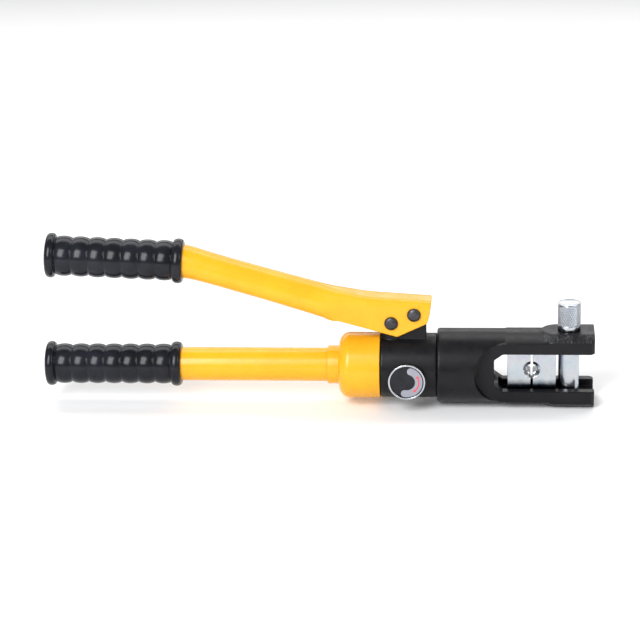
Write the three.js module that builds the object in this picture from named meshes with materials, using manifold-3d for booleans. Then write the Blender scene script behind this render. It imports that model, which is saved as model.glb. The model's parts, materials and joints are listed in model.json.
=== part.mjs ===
// Hydraulic hand crimping tool: a pumped ram closes two hexagonal dies in an open-ended fork head.
// Millimetres. +X points from the grips to the fork tip along the ram axis, +Z points to the moving
// lever, and the origin is the centre of the ram's front face when the ram is fully back.
import * as THREE from 'three';
import { mergeVertices } from 'three/addons/utils/BufferGeometryUtils.js';
import Module from 'manifold-3d';

const wasm = await Module();
wasm.setup();

// ---------------------------------------------------------------- driving dimensions
const touchGap = 0.3; // between parts that bear on each other
const cutOverrun = 1; // how far a cutting solid runs past the face it opens
const bodySides = 48; // facets round the outside of the barrel, body and cap
const fineSides = 32; // facets round a mid-sized turned part
const smallSides = 14; // facets round a small turned part
const gripSides = 20;
const portSides = 12;
const ballSides = 12;
const noseSteps = 14; // segments in the boss's round nose
const flankSteps = 28; // segments in the flank's rounded end
const archSteps = 12; // segments in a shallow arc

const ram = { rodRadius: 15, rodLength: 56, pistonRadius: 19, pistonLength: 12, faceChamfer: 1 };
const ramSeal = { inset: 3.5, width: 4, depth: 3 }; // groove in the piston, from its rear face
const backupRing = { width: 1.4, depth: 2.6 };
const chamberEndRoom = 2; // oil room behind the ram when it is fully back
const spring = { wireRadius: 1.1, turns: 5, curveSegments: 3, stepsPerTurn: 10 };

const fork = {
  radius: 33.3, guideLength: 20, rearLength: 30.5, rearChamfer: 1.4, flatHalfWidth: 21,
  flatHalfHeight: 27.6, flatRearX: -17, crownHeight: 33.3, tipBeyondPin: 22.4, tipChamfer: 3,
};
const gap = { halfHeight: 17.5, cornerX: 7.5, cornerZ: 5.4, grooveHalfWidth: 11.6, grooveDepth: 7 };
const boss = { topHeight: 34.3, topHalfWidth: 13.6, sideHeight: 29.2, rearBehindPin: 24 };
const threadJoint = { radius: 24, length: 11.5 }; // pump body's front spigot inside the fork head
const lockScrew = { radius: 3, length: 7.5, fromRear: 6, hexRadius: 1.6, hexDepth: 3 };

const die = {
  length: 20.5, halfWidth: 10.6, grooveReach: 6.5, restFromRam: 11.9, gapBetween: 1.9,
  gapToPin: 2, hexHalfFlats: 4.15, sinkRadius: 7.7, edgeChamfer: 0.8,
};
const pin = {
  shankRadius: 9.4, endAboveArm: 1.4, endChamfer: 1.5, neckRadius: 8.6, neckHeight: 2.2,
  ringHeight: 3, headRadius: 10.2, headHeight: 23.6, domeEdge: 2, domeRise: 0.4, holeGap: 0.35,
  knurlDepth: 0.3, knurlEnd: 0.2, undercutFrom: 3, undercutTo: 2,
};
const detent = { ballRadius: 2.4, fromEnd: 9, springLength: 4.2, coilGap: 0.2 };

const body = { radius: 28.8, length: 50, rearSpigotRadius: 25.8, rearSpigotLength: 7.4, chamfer: 0.8 };
const cap = {
  radius: 29.4, length: 36.8, cornerRadius: 10, wall: 5, collarRadius: 17.1, collarLength: 10.2,
  cavityRadius: 22,
  cornerSteps: 8, tubeReach: 2,
};
const tube = { radius: 15, wall: 2.5 };
const grip = {
  length: 123.2, skin: 1.2, flangeLift: 3.5, flangeWidth: 9.3, ribLift: 1.5, ribs: 7, endWall: 5,
  endDome: 1.2, ribPoints: 3, flangePoints: 5, roundness: 0.7,
};
const fixedHandleReach = 402.9; // from the ram face back to the end of the fixed grip

const bladder = {
  tubeClearance: 1.5, wall: 1.6, endRoom: 81.6, neckStep: 2.4, neckWall: 1.4, neckLength: 9,
  shoulder: 2.5, corner: 3, taper: 1,
};
const spout = { length: 10, lip: 0.5, lipFrom: 2, lipTo: 3 };
const clip = { width: 4, thickness: 1, fromMouth: 7 };
const plug = { length: 9, headStep: 3, holeStep: 6.6, headLength: 3 };

const pivot = { x: -70.7, z: 52.1, radius: 4.6 }; // fixed pin in the lug
const link = { dx: -20.2, dz: -7.9, radius: 4 }; // moving pin, measured from the pivot
const rivet = {
  headRadius: 6.2, headHeight: 3.2, clipGroove: 1.2, tailLength: 3.2, clipRadius: 6.3,
  domeSteps: 4, headEdge: 0.8, grooveDepth: 0.8, clipBite: 0.5, clipPlay: 0.1, clipMouth: 1.6,
};
const lug = { sideGap: 2.3, crownRadius: 7.6, frontFromPivot: 10.6, heelRise: 5.1, heelReach: 5.6 };
const lever = {
  wall: 3, halfWidth: 13.5, slope: 16.7, gripSlope: 2.6, kneeRadius: 50, kneePastGrip: 2.8,
  gripEndX: -321.7, ovalFlattening: 0.7, ovalBlend: 16, shoulderX: -98,
  shoulderRise: 14.1, hollowDeepen: 12, sectionPoints: 28, roundPower: 2, openPower: 2.5,
  lowerPowerGain: 1.5,
};
// The formed front part, from the shoulder to the front edge: upright sections measured from the
// pivot, each with its top, its widest height, its side's width beyond the plates, its depth below
// the widest height and the squareness of its corners.
const leverSections = [
  { x: -82, top: 24.5, mid: 9.3, extraHalf: 1.3, down: 15.1, power: 2.2 },
  { x: -73, top: 21.8, mid: 7.2, extraHalf: 0.8, down: 17, power: 2.7 },
  { x: -65, top: 19.8, mid: 5, extraHalf: 0.3, down: 24, power: 3.4 },
  { x: -56, top: 17.8, mid: 3.2, extraHalf: 0, down: 34, power: 4.4 },
  { x: -40, top: 15, mid: 1.4, extraHalf: 0, down: 40, power: 5 },
  { x: -11, top: 12.9, mid: -0.8, extraHalf: 0, down: 40, power: 5 },
  { x: 22, top: 10.5, mid: -3, extraHalf: 0, down: 40, power: 5 },
];
// The side plates' lower and front edge, measured from the pivot.
const plateEdge = [
  [-100, -7], [-80, -7], [-66.5, -6.4], [-17.5, -20.3], [-15.7, -20.9], [-13.8, -20.5],
  [9.8, -9.4], [11.6, -8.2], [12.5, -5.9], [13.9, -0.5], [15.8, 12.6],
];
const trimReach = 60; // how far the trimming solids run beyond the lever

const pump = {
  plungerRadius: 5, eyeHalfWidth: 9, eyeHalfHeight: 6, eyeThickness: 6, bottomZ: 7, slotTravel: 1.6,
  bossRadius: 10, bossTopZ: 33, nutRadius: 9.4, nutThreadRadius: 7.7, nutTopZ: 34.8, nutDepth: 4,
  sealHeight: 4, slotPlay: 0.4, eyeOverlap: 1,
};
const valve = {
  boreRadius: 3.6, ballRadius: 2.6, wireRadius: 0.45, seatHole: 1.6, axisZ: 1, springTurns: 3,
  suctionFromX: -1, suctionSeat: 3, deliveryFromX: 1, deliverySeat: 2.5, springEndGap: 0.5,
};
const relief = {
  y: 13, z: -6, screwLength: 6, springLength: 7, boreBeyondLink: 8, portFromLink: 7, hexRadius: 1.4,
};
const release = {
  x: -76.8, z: -2.9, stemRadius: 4, stemTipY: -11, ballRadius: 2.2, knobRadius: 16.4,
  knobThickness: 6.6, facePastBody: 7.2, portY: -10, returnY: -16, stemInKnob: 2.6, stemHoleDepth: 3,
  stemPoint: 3, stemPointRadius: 1,
};
const knobTrim = {
  rimWidth: 1.6, rimHeight: 0.6, labelInner: 7.4, labelOuter: 14, labelHeight: 0.5, labelFrom: -100,
  labelTo: 70, labelGap: 0.1, discSink: 0.2, rimSeat: 1.4, rimBack: 1.1, seatInset: 0.3, backInset: 1,
  labelSteps: 20, labelEndSteps: 6,
};

// ---------------------------------------------------------------- places that follow from them
const ramRearX = -(ram.rodLength + ram.pistonLength);
const chamberRearX = ramRearX - chamberEndRoom;
const forkRearX = -(fork.guideLength + fork.rearLength);
const bodyFrontX = forkRearX - touchGap;
const bodyRearX = bodyFrontX - body.length;
const capRearX = bodyRearX - touchGap - cap.length;
const collarRearX = capRearX - cap.collarLength;
const movingDieX = die.restFromRam;
const anvilDieX = movingDieX + die.length + die.gapBetween;
const pinX = anvilDieX + die.length + die.gapToPin + pin.shankRadius;
const tipX = pinX + fork.tipBeyondPin;
const linkX = pivot.x + link.dx;
const linkZ = pivot.z + link.dz;
const bodyRearSpigotX = bodyRearX - body.rearSpigotLength;
const nutFromZ = pump.bossTopZ - pump.nutDepth;
const sealFromZ = nutFromZ - pump.sealHeight;
const chamberRadius = ram.pistonRadius + touchGap;
const tubeEndX = -fixedHandleReach + grip.endWall + touchGap;
const pinHoleRadius = pin.shankRadius + pin.holeGap;
const lugHalfWidth = lever.halfWidth - lever.wall - lug.sideGap;
const knobFaceY = -body.radius - release.facePastBody;
const bladderRadius = tube.radius - tube.wall - bladder.tubeClearance;
const neckRadius = bladderRadius - bladder.neckStep;
const spoutRadius = neckRadius - bladder.neckWall - touchGap - spout.lip;
const gripBore = tube.radius + touchGap;
const valleyRadius = gripBore + grip.skin;

// ---------------------------------------------------------------- materials
const paint = (color, roughness, metalness) =>
  new THREE.MeshStandardMaterial({ color, roughness, metalness });
const finish = {
  yellow: paint(0xf6bd12, 0.35, 0.0),
  black: paint(0x1b1b1d, 0.45, 0.2),
  zinc: paint(0xc8d0d8, 0.3, 0.9),
  steel: paint(0x8b8f94, 0.35, 0.9),
  darkSteel: paint(0x3a3b40, 0.4, 0.6),
  grip: paint(0x0c0d10, 0.25, 0.0),
  rubber: paint(0x222222, 0.8, 0.0),
  brass: paint(0xb58a3c, 0.35, 0.9),
  charcoal: paint(0x2c2e35, 0.4, 0.1),
  label: paint(0xd9dade, 0.5, 0.0),
};

// ---------------------------------------------------------------- solid helpers
function solid(geometry) {
  const bare = geometry.index ? geometry.toNonIndexed() : geometry.clone();
  bare.deleteAttribute('normal');
  bare.deleteAttribute('uv');
  const merged = mergeVertices(bare, 1e-4);
  return new wasm.Manifold(new wasm.Mesh({
    numProp: 3,
    vertProperties: new Float32Array(merged.attributes.position.array),
    triVerts: new Uint32Array(merged.index.array),
  }));
}

function cut(base, ...tools) {
  return tools.reduce((left, tool) => left.subtract(tool), base);
}

function join(...pieces) {
  return pieces.reduce((whole, piece) => whole.add(piece));
}

function node(name, material, piece) {
  const mesh = piece.getMesh();
  const geometry = new THREE.BufferGeometry();
  geometry.setAttribute('position', new THREE.BufferAttribute(mesh.vertProperties, 3));
  geometry.setIndex(new THREE.BufferAttribute(mesh.triVerts, 1));
  geometry.computeVertexNormals();
  const result = new THREE.Mesh(geometry, material);
  result.name = name;
  return result;
}

function block(x0, x1, y0, y1, z0, z1) {
  const geometry = new THREE.BoxGeometry(x1 - x0, y1 - y0, z1 - z0);
  geometry.translate((x0 + x1) / 2, (y0 + y1) / 2, (z0 + z1) / 2);
  return solid(geometry);
}

// A profile of [along, radius] pairs turned about the given axis through (x, y, z).
function turned(profile, axis, origin = [0, 0, 0], sides = smallSides) {
  const points = profile.map(([along, radius]) => new THREE.Vector2(radius, along));
  const geometry = new THREE.LatheGeometry(points, sides);
  if (axis === 'x') geometry.rotateZ(-Math.PI / 2);
  if (axis === 'z') geometry.rotateX(Math.PI / 2);
  geometry.translate(...origin);
  return solid(geometry);
}

function rod(radius, from, to, axis, origin, sides = smallSides) {
  return turned([[from, 0], [from, radius], [to, radius], [to, 0]], axis, origin, sides);
}

function ring(inner, outer, from, to, axis, origin, sides = smallSides) {
  const profile = [[from, inner], [from, outer], [to, outer], [to, inner], [from, inner]];
  return turned(profile, axis, origin, sides);
}

// An outline in (x, z) pushed through from y0 to y1.
function plate(outline, y0, y1) {
  const shape = new THREE.Shape(outline.map(([x, z]) => new THREE.Vector2(x, z)));
  const geometry = new THREE.ExtrudeGeometry(shape, { depth: y1 - y0, bevelEnabled: false });
  geometry.rotateX(Math.PI / 2);
  geometry.translate(0, y1, 0);
  return solid(geometry);
}

// An outline in (y, z) pushed through from x0 to x1.
function bar(outline, x0, x1) {
  const shape = new THREE.Shape(outline.map(([y, z]) => new THREE.Vector2(y, z)));
  const geometry = new THREE.ExtrudeGeometry(shape, { depth: x1 - x0, bevelEnabled: false });
  geometry.rotateX(Math.PI / 2);
  geometry.rotateZ(Math.PI / 2);
  geometry.translate(x0, 0, 0);
  return solid(geometry);
}

function arcPoints(cx, cz, radius, fromDegrees, toDegrees, steps) {
  return Array.from({ length: steps + 1 }, (_, i) => {
    const angle = THREE.MathUtils.degToRad(fromDegrees + (toDegrees - fromDegrees) * i / steps);
    return [cx + radius * Math.cos(angle), cz + radius * Math.sin(angle)];
  });
}

// A coil spring along +X or another axis, with its wire centre on coilRadius.
function coil(coilRadius, wireRadius, from, to, turns, axis, origin) {
  class Helix extends THREE.Curve {
    getPoint(t, target = new THREE.Vector3()) {
      const angle = t * turns * 2 * Math.PI;
      const along = from + wireRadius + t * (to - from - 2 * wireRadius);
      return target.set(along, coilRadius * Math.cos(angle), coilRadius * Math.sin(angle));
    }
  }
  const section = new THREE.Shape();
  section.absarc(0, 0, wireRadius, 0, 2 * Math.PI);
  const geometry = new THREE.ExtrudeGeometry(section, {
    steps: Math.round(turns * spring.stepsPerTurn),
    curveSegments: spring.curveSegments,
    extrudePath: new Helix(),
  });
  if (axis === 'y') geometry.rotateZ(Math.PI / 2);
  if (axis === 'z') geometry.rotateY(-Math.PI / 2);
  geometry.translate(...origin);
  return solid(geometry);
}

// ---------------------------------------------------------------- fork head
function forkFlank() {
  const centreX = fork.flatRearX + fork.flatHalfHeight;
  const outline = arcPoints(centreX, 0, fork.flatHalfHeight, 90, 270, flankSteps);
  outline.push([tipX, -fork.flatHalfHeight], [tipX, fork.flatHalfHeight]);
  return outline;
}

function forkCrown() {
  const rise = fork.crownHeight - fork.flatHalfHeight;
  const radius = (fork.flatHalfWidth ** 2 + rise ** 2) / (2 * rise);
  const half = THREE.MathUtils.radToDeg(Math.asin(fork.flatHalfWidth / radius));
  const centreZ = fork.crownHeight - radius;
  const top = arcPoints(0, centreZ, radius, 90 - half, 90 + half, archSteps);
  const bottom = top.map(([y, z]) => [-y, -z]);
  return bar([...top, ...bottom], fork.flatRearX + fork.flatHalfHeight, tipX);
}

// The pin boss stands a little above the crown: flat on top and chamfered to the flanks, with a
// round nose towards the grips.
function forkBoss() {
  const noseX = pinX - boss.rearBehindPin + boss.topHalfWidth;
  const nose = arcPoints(noseX, 0, boss.topHalfWidth, 90, 270, noseSteps);
  const plan = new THREE.Shape(nose.map(([x, y]) => new THREE.Vector2(x, y)));
  plan.lineTo(tipX, -boss.topHalfWidth);
  plan.lineTo(tipX, boss.topHalfWidth);
  const geometry = new THREE.ExtrudeGeometry(plan, {
    depth: 2 * boss.sideHeight,
    bevelSegments: 1,
    bevelSize: fork.flatHalfWidth - boss.topHalfWidth,
    bevelThickness: boss.topHeight - boss.sideHeight,
  });
  geometry.translate(0, 0, -boss.sideHeight);
  const bulk = block(0, tipX, -fork.radius, fork.radius, -fork.radius - boss.topHeight,
    fork.radius + boss.topHeight);
  return solid(geometry).intersect(bulk);
}

function forkGap() {
  const { halfHeight, cornerX, cornerZ } = gap;
  const wide = fork.radius + cutOverrun;
  const window = plate([
    [0, halfHeight - cornerZ], [0, cornerZ - halfHeight], [cornerX, -halfHeight],
    [tipX + cutOverrun, -halfHeight], [tipX + cutOverrun, halfHeight], [cornerX, halfHeight],
  ], -wide, wide);
  const grooveTop = halfHeight + gap.grooveDepth;
  const groove = plate([
    [cornerX / 2, halfHeight], [cornerX, grooveTop], [tipX + cutOverrun, grooveTop],
    [tipX + cutOverrun, -grooveTop], [cornerX, -grooveTop], [cornerX / 2, -halfHeight],
  ], -gap.grooveHalfWidth, gap.grooveHalfWidth);
  return [window, groove];
}

function forkTipTrim() {
  const reach = fork.flatHalfWidth + cutOverrun;
  const high = boss.topHeight + cutOverrun;
  const corner = side => {
    const plan = new THREE.Shape([
      new THREE.Vector2(tipX - fork.tipChamfer, side * fork.flatHalfWidth),
      new THREE.Vector2(tipX, side * (fork.flatHalfWidth - fork.tipChamfer)),
      new THREE.Vector2(tipX + cutOverrun, side * (fork.flatHalfWidth - fork.tipChamfer)),
      new THREE.Vector2(tipX + cutOverrun, side * reach),
      new THREE.Vector2(tipX - fork.tipChamfer, side * reach),
    ]);
    const geometry = new THREE.ExtrudeGeometry(plan, { depth: 2 * high, bevelEnabled: false });
    geometry.translate(0, 0, -high);
    return solid(geometry);
  };
  return [corner(-1), corner(1)];
}

function forkHead() {
  const barrel = turned([
    [forkRearX, 0], [forkRearX, fork.radius - fork.rearChamfer],
    [forkRearX + fork.rearChamfer, fork.radius],
    [pinX - boss.rearBehindPin, fork.radius], [pinX - boss.rearBehindPin, 0],
  ], 'x', [0, 0, 0], bodySides);
  const flank = plate(forkFlank(), -fork.flatHalfWidth, fork.flatHalfWidth);
  const beyond = fork.radius + cutOverrun;
  const nearShave = plate(forkFlank(), -beyond, -fork.flatHalfWidth);
  const farShave = plate(forkFlank(), fork.flatHalfWidth, beyond);
  const outside = join(cut(barrel, nearShave, farShave), flank, forkCrown(), forkBoss());
  const threadSocket = rod(threadJoint.radius + touchGap, forkRearX - cutOverrun,
    forkRearX + threadJoint.length + touchGap, 'x', [0, 0, 0], fineSides);
  const springRoom = rod(chamberRadius, forkRearX, -fork.guideLength, 'x', [0, 0, 0], fineSides);
  const guide = rod(ram.rodRadius + touchGap, -fork.guideLength - cutOverrun,
    gap.cornerX + cutOverrun, 'x', [0, 0, 0], fineSides);
  const pinHole = rod(pinHoleRadius, -boss.topHeight - cutOverrun, boss.topHeight + cutOverrun, 'z',
    [pinX, 0, 0], fineSides);
  const screwHole = rod(lockScrew.radius + touchGap, -fork.radius - cutOverrun, -threadJoint.radius,
    'z', [forkRearX + lockScrew.fromRear, 0, 0]);
  const piece = cut(outside, ...forkGap(), ...forkTipTrim(), threadSocket, springRoom, guide,
    pinHole, screwHole);
  return node('fork_head', finish.black, piece);
}

function headLockScrew() {
  const outerZ = -Math.sqrt(fork.radius ** 2 - lockScrew.radius ** 2) + touchGap;
  const origin = [forkRearX + lockScrew.fromRear, 0, outerZ];
  const shank = rod(lockScrew.radius, 0, lockScrew.length, 'z', origin);
  const socket = rod(lockScrew.hexRadius, -cutOverrun, lockScrew.hexDepth, 'z', origin, 6);
  return node('head_lock_screw', finish.darkSteel, cut(shank, socket));
}

// ---------------------------------------------------------------- ram
function ramPiston() {
  const profile = [
    [ramRearX, 0], [ramRearX, ram.pistonRadius], [-ram.rodLength, ram.pistonRadius],
    [-ram.rodLength, ram.rodRadius], [-ram.faceChamfer, ram.rodRadius],
    [0, ram.rodRadius - ram.faceChamfer], [0, 0],
  ];
  const grooveFrom = ramRearX + ramSeal.inset;
  const grooveTo = grooveFrom + ramSeal.width + backupRing.width + 2 * touchGap;
  const groove = ring(ram.pistonRadius - ramSeal.depth, ram.pistonRadius + cutOverrun, grooveFrom,
    grooveTo, 'x', [0, 0, 0], fineSides);
  return node('ram_piston', finish.steel, cut(turned(profile, 'x', [0, 0, 0], fineSides), groove));
}

function ramSealRing() {
  const from = ramRearX + ramSeal.inset + touchGap / 2;
  return node('ram_seal', finish.rubber, ring(ram.pistonRadius - ramSeal.depth + touchGap / 2,
    ram.pistonRadius + touchGap / 2, from, from + ramSeal.width, 'x', [0, 0, 0], fineSides));
}

function ramBackupRing() {
  const from = ramRearX + ramSeal.inset + ramSeal.width + touchGap;
  return node('ram_backup_ring', finish.label, ring(ram.pistonRadius - backupRing.depth,
    ram.pistonRadius, from, from + backupRing.width, 'x', [0, 0, 0], fineSides));
}

function returnSpring() {
  const meanRadius = (ram.rodRadius + chamberRadius) / 2;
  return node('return_spring', finish.steel, coil(meanRadius, spring.wireRadius,
    -ram.rodLength + touchGap, -fork.guideLength - touchGap, spring.turns, 'x', [0, 0, 0]));
}

// ---------------------------------------------------------------- dies and retaining pin
// A die is a block that drops into the fork's grooves; its working face holds half of the hexagon.
function dieBlock(name, rearX, workingSide) {
  const frontX = rearX + die.length;
  const halfHeight = gap.halfHeight + die.grooveReach;
  const c = die.edgeChamfer;
  const w = die.halfWidth;
  const outline = [
    [rearX, c - halfHeight], [rearX + c, -halfHeight],
    [frontX - c, -halfHeight], [frontX, c - halfHeight],
    [frontX, halfHeight - c], [frontX - c, halfHeight],
    [rearX + c, halfHeight], [rearX, halfHeight - c],
  ];
  const faceX = workingSide > 0 ? frontX : rearX;
  const centreX = faceX + workingSide * die.gapBetween / 2;
  const corner = die.hexHalfFlats / Math.cos(Math.PI / 6);
  const hexagon = rod(corner, -w - cutOverrun, w + cutOverrun, 'y', [centreX, 0, 0], 6);
  const sinkFloor = w - die.sinkRadius + corner;
  const sinkMouth = w + cutOverrun;
  const sink = side => {
    const profile = [
      [side * sinkFloor, 0], [side * sinkFloor, corner],
      [side * sinkMouth, die.sinkRadius + cutOverrun], [side * sinkMouth, 0],
    ];
    return turned(side > 0 ? profile : profile.reverse(), 'y', [centreX, 0, 0], fineSides);
  };
  return node(name, finish.zinc, cut(plate(outline, -w, w), hexagon, sink(-1), sink(1)));
}

function retainingPin() {
  const bottomZ = -boss.topHeight + pin.endAboveArm;
  const neckTopZ = boss.topHeight + pin.neckHeight;
  const ringTopZ = neckTopZ + pin.ringHeight;
  const topZ = neckTopZ + pin.headHeight;
  const profile = [
    [bottomZ, 0], [bottomZ, pin.shankRadius - pin.endChamfer],
    [bottomZ + pin.endChamfer, pin.shankRadius],
    [boss.topHeight - pin.undercutFrom, pin.shankRadius],
    [boss.topHeight - pin.undercutTo, pin.neckRadius],
    [neckTopZ, pin.neckRadius], [neckTopZ, pin.headRadius],
    [ringTopZ, pin.headRadius], [ringTopZ + pin.knurlEnd, pin.headRadius - pin.knurlDepth],
    [topZ - pin.domeEdge - pin.knurlEnd, pin.headRadius - pin.knurlDepth],
    [topZ - pin.domeEdge, pin.headRadius],
    [topZ - pin.domeEdge / 3, pin.headRadius - pin.domeEdge / 2],
    [topZ, pin.headRadius - 2 * pin.domeEdge], [topZ + pin.domeRise, 0],
  ];
  const ballZ = bottomZ + detent.fromEnd;
  const holeDepth = 2 * detent.ballRadius + detent.springLength + 2 * touchGap;
  const ballHole = rod(detent.ballRadius + touchGap / 2, -pin.shankRadius - cutOverrun,
    holeDepth - pin.shankRadius, 'x', [pinX, 0, ballZ]);
  const blank = turned(profile, 'z', [pinX, 0, 0], fineSides);
  return node('retaining_pin', finish.zinc, cut(blank, ballHole));
}

function pinDetent() {
  const ballX = pinX - pin.shankRadius + detent.ballRadius;
  const ballZ = -boss.topHeight + pin.endAboveArm + detent.fromEnd;
  const ball = ballAt(detent.ballRadius, ballX, 0, ballZ);
  const springFrom = detent.ballRadius + touchGap;
  const coilRadius = detent.ballRadius - valve.wireRadius - detent.coilGap;
  const small = coil(coilRadius, valve.wireRadius, springFrom, springFrom + detent.springLength,
    valve.springTurns, 'x', [ballX, 0, ballZ]);
  return [
    node('pin_detent_ball', finish.steel, ball),
    node('pin_detent_spring', finish.steel, small),
  ];
}

function ballAt(radius, x, y, z) {
  const geometry = new THREE.SphereGeometry(radius, ballSides, 2 * ballSides / 3);
  geometry.translate(x, y, z);
  return solid(geometry);
}

// ---------------------------------------------------------------- pump body and its valves
function pumpBody() {
  const shell = turned([
    [bodyRearSpigotX, 0], [bodyRearSpigotX, body.rearSpigotRadius],
    [bodyRearX, body.rearSpigotRadius], [bodyRearX, body.radius - body.chamfer],
    [bodyRearX + body.chamfer, body.radius], [bodyFrontX, body.radius],
    [bodyFrontX, threadJoint.radius], [forkRearX + threadJoint.length, threadJoint.radius],
    [forkRearX + threadJoint.length, 0],
  ], 'x', [0, 0, 0], bodySides);
  const spoutX = bodyRearSpigotX - spout.length;
  const spoutPiece = turned([
    [spoutX, 0], [spoutX, spoutRadius], [spoutX + spout.lipFrom, spoutRadius + spout.lip],
    [spoutX + spout.lipTo, spoutRadius], [bodyRearSpigotX + cutOverrun, spoutRadius],
    [bodyRearSpigotX + cutOverrun, 0],
  ], 'x', [0, 0, valve.axisZ]);
  const crown = arcPoints(pivot.x, pivot.z, lug.crownRadius, 0, 180, archSteps);
  const lugFoot = body.radius / 2;
  const lugPiece = plate([
    [pivot.x + lug.frontFromPivot, lugFoot],
    [pivot.x + lug.frontFromPivot, pivot.z - lug.crownRadius],
    ...crown, [pivot.x - lug.crownRadius, pump.bossTopZ + lug.heelRise],
    [pivot.x - lug.crownRadius - lug.heelReach, body.radius],
    [pivot.x - lug.crownRadius, lugFoot],
  ], -lugHalfWidth, lugHalfWidth);
  const gland = rod(pump.bossRadius, lugFoot, pump.bossTopZ, 'z', [linkX, 0, 0], fineSides);
  const chamber = rod(chamberRadius, chamberRearX, forkRearX + threadJoint.length + cutOverrun, 'x',
    [0, 0, 0], fineSides);
  const plungerBore = rod(pump.plungerRadius + touchGap, valve.axisZ - valve.boreRadius,
    pump.bossTopZ, 'z', [linkX, 0, 0]);
  const sealSeat = rod(pump.nutThreadRadius, sealFromZ, pump.bossTopZ + cutOverrun, 'z',
    [linkX, 0, 0]);
  const pivotHole = rod(pivot.radius + touchGap, -lugHalfWidth - cutOverrun,
    lugHalfWidth + cutOverrun, 'y', [pivot.x, 0, pivot.z]);
  const suctionBore = rod(valve.boreRadius, bodyRearSpigotX - spout.length - cutOverrun, linkX, 'x',
    [0, 0, valve.axisZ]);
  const deliveryBore = rod(valve.boreRadius, linkX, chamberRearX + cutOverrun, 'x',
    [0, 0, valve.axisZ]);
  const reliefBore = rod(valve.boreRadius, bodyRearSpigotX - cutOverrun, linkX + relief.boreBeyondLink,
    'x', [0, relief.y, relief.z]);
  const reliefPort = rod(valve.seatHole, linkX + relief.portFromLink, chamberRearX + cutOverrun,
    'x', [0, relief.y, relief.z], portSides);
  const stemBore = rod(release.stemRadius + touchGap, -body.radius - cutOverrun,
    release.stemTipY + 2 * release.ballRadius + 3 * touchGap, 'y', [release.x, 0, release.z]);
  const releasePort = rod(valve.seatHole, release.x, chamberRearX + cutOverrun, 'x',
    [0, release.portY, release.z], portSides);
  const returnPort = rod(valve.seatHole, bodyRearSpigotX - cutOverrun, release.x, 'x',
    [0, release.returnY, release.z], portSides);
  const outside = join(shell, spoutPiece, lugPiece, gland);
  return node('pump_body', finish.black, cut(outside, chamber, plungerBore, sealSeat, pivotHole,
    suctionBore, deliveryBore, reliefBore, reliefPort, stemBore, releasePort, returnPort));
}

function plungerParts() {
  const eyeBottomZ = linkZ - pump.eyeHalfHeight;
  const stem = rod(pump.plungerRadius, pump.bottomZ, eyeBottomZ + pump.eyeOverlap, 'z',
    [linkX, 0, 0], fineSides);
  const eye = block(linkX - pump.eyeHalfWidth, linkX + pump.eyeHalfWidth, -pump.eyeThickness,
    pump.eyeThickness, eyeBottomZ, linkZ + pump.eyeHalfHeight);
  const slotRadius = link.radius + pump.slotPlay;
  const slotOutline = [
    ...arcPoints(linkX + pump.slotTravel, linkZ, slotRadius, -90, 90, archSteps),
    ...arcPoints(linkX - pump.slotTravel, linkZ, slotRadius, 90, 270, archSteps),
  ];
  const slot = plate(slotOutline, -pump.eyeThickness - cutOverrun, pump.eyeThickness + cutOverrun);
  const nutHole = pump.plungerRadius + touchGap;
  const nutThread = pump.nutThreadRadius - touchGap;
  const flangeZ = pump.bossTopZ + touchGap;
  const nut = turned([
    [nutFromZ, nutHole], [nutFromZ, nutThread], [flangeZ, nutThread], [flangeZ, pump.nutRadius],
    [pump.nutTopZ, pump.nutRadius], [pump.nutTopZ, nutHole], [nutFromZ, nutHole],
  ], 'z', [linkX, 0, 0], fineSides);
  const seal = ring(pump.plungerRadius + touchGap / 2, pump.nutThreadRadius - touchGap / 2,
    sealFromZ + touchGap / 2, nutFromZ - touchGap, 'z', [linkX, 0, 0]);
  return [
    node('pump_plunger', finish.steel, cut(join(stem, eye), slot)),
    node('gland_nut', finish.darkSteel, nut),
    node('plunger_seal', finish.rubber, seal),
  ];
}

function checkValve(prefix, startX, y, z, springEndX, seatLength) {
  const radius = valve.boreRadius - touchGap;
  const seat = ring(valve.seatHole, radius, startX, startX + seatLength, 'x', [0, y, z]);
  const ballX = startX + seatLength + touchGap + valve.ballRadius;
  const coilRadius = valve.ballRadius - valve.wireRadius;
  const small = coil(coilRadius, valve.wireRadius, ballX + valve.ballRadius + touchGap, springEndX,
    valve.springTurns, 'x', [0, y, z]);
  return [
    node(`${prefix}_seat`, finish.brass, seat),
    node(`${prefix}_ball`, finish.steel, ballAt(valve.ballRadius, ballX, y, z)),
    node(`${prefix}_spring`, finish.steel, small),
  ];
}

function reliefValve() {
  const ballX = linkX + relief.boreBeyondLink - valve.ballRadius - touchGap;
  const springTo = ballX - valve.ballRadius - touchGap;
  const springFrom = springTo - relief.springLength;
  const screwTo = springFrom - touchGap;
  const coilRadius = valve.ballRadius - valve.wireRadius;
  const axis = [0, relief.y, relief.z];
  const screwFrom = screwTo - relief.screwLength;
  const screw = cut(
    rod(valve.boreRadius - touchGap, screwFrom, screwTo, 'x', axis),
    rod(relief.hexRadius, screwFrom - cutOverrun, (screwFrom + screwTo) / 2, 'x', axis, 6),
  );
  const small = coil(coilRadius, valve.wireRadius, springFrom, springTo, valve.springTurns, 'x', axis);
  return [
    node('relief_ball', finish.steel, ballAt(valve.ballRadius, ballX, relief.y, relief.z)),
    node('relief_spring', finish.steel, small),
    node('relief_screw', finish.darkSteel, screw),
  ];
}

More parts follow.
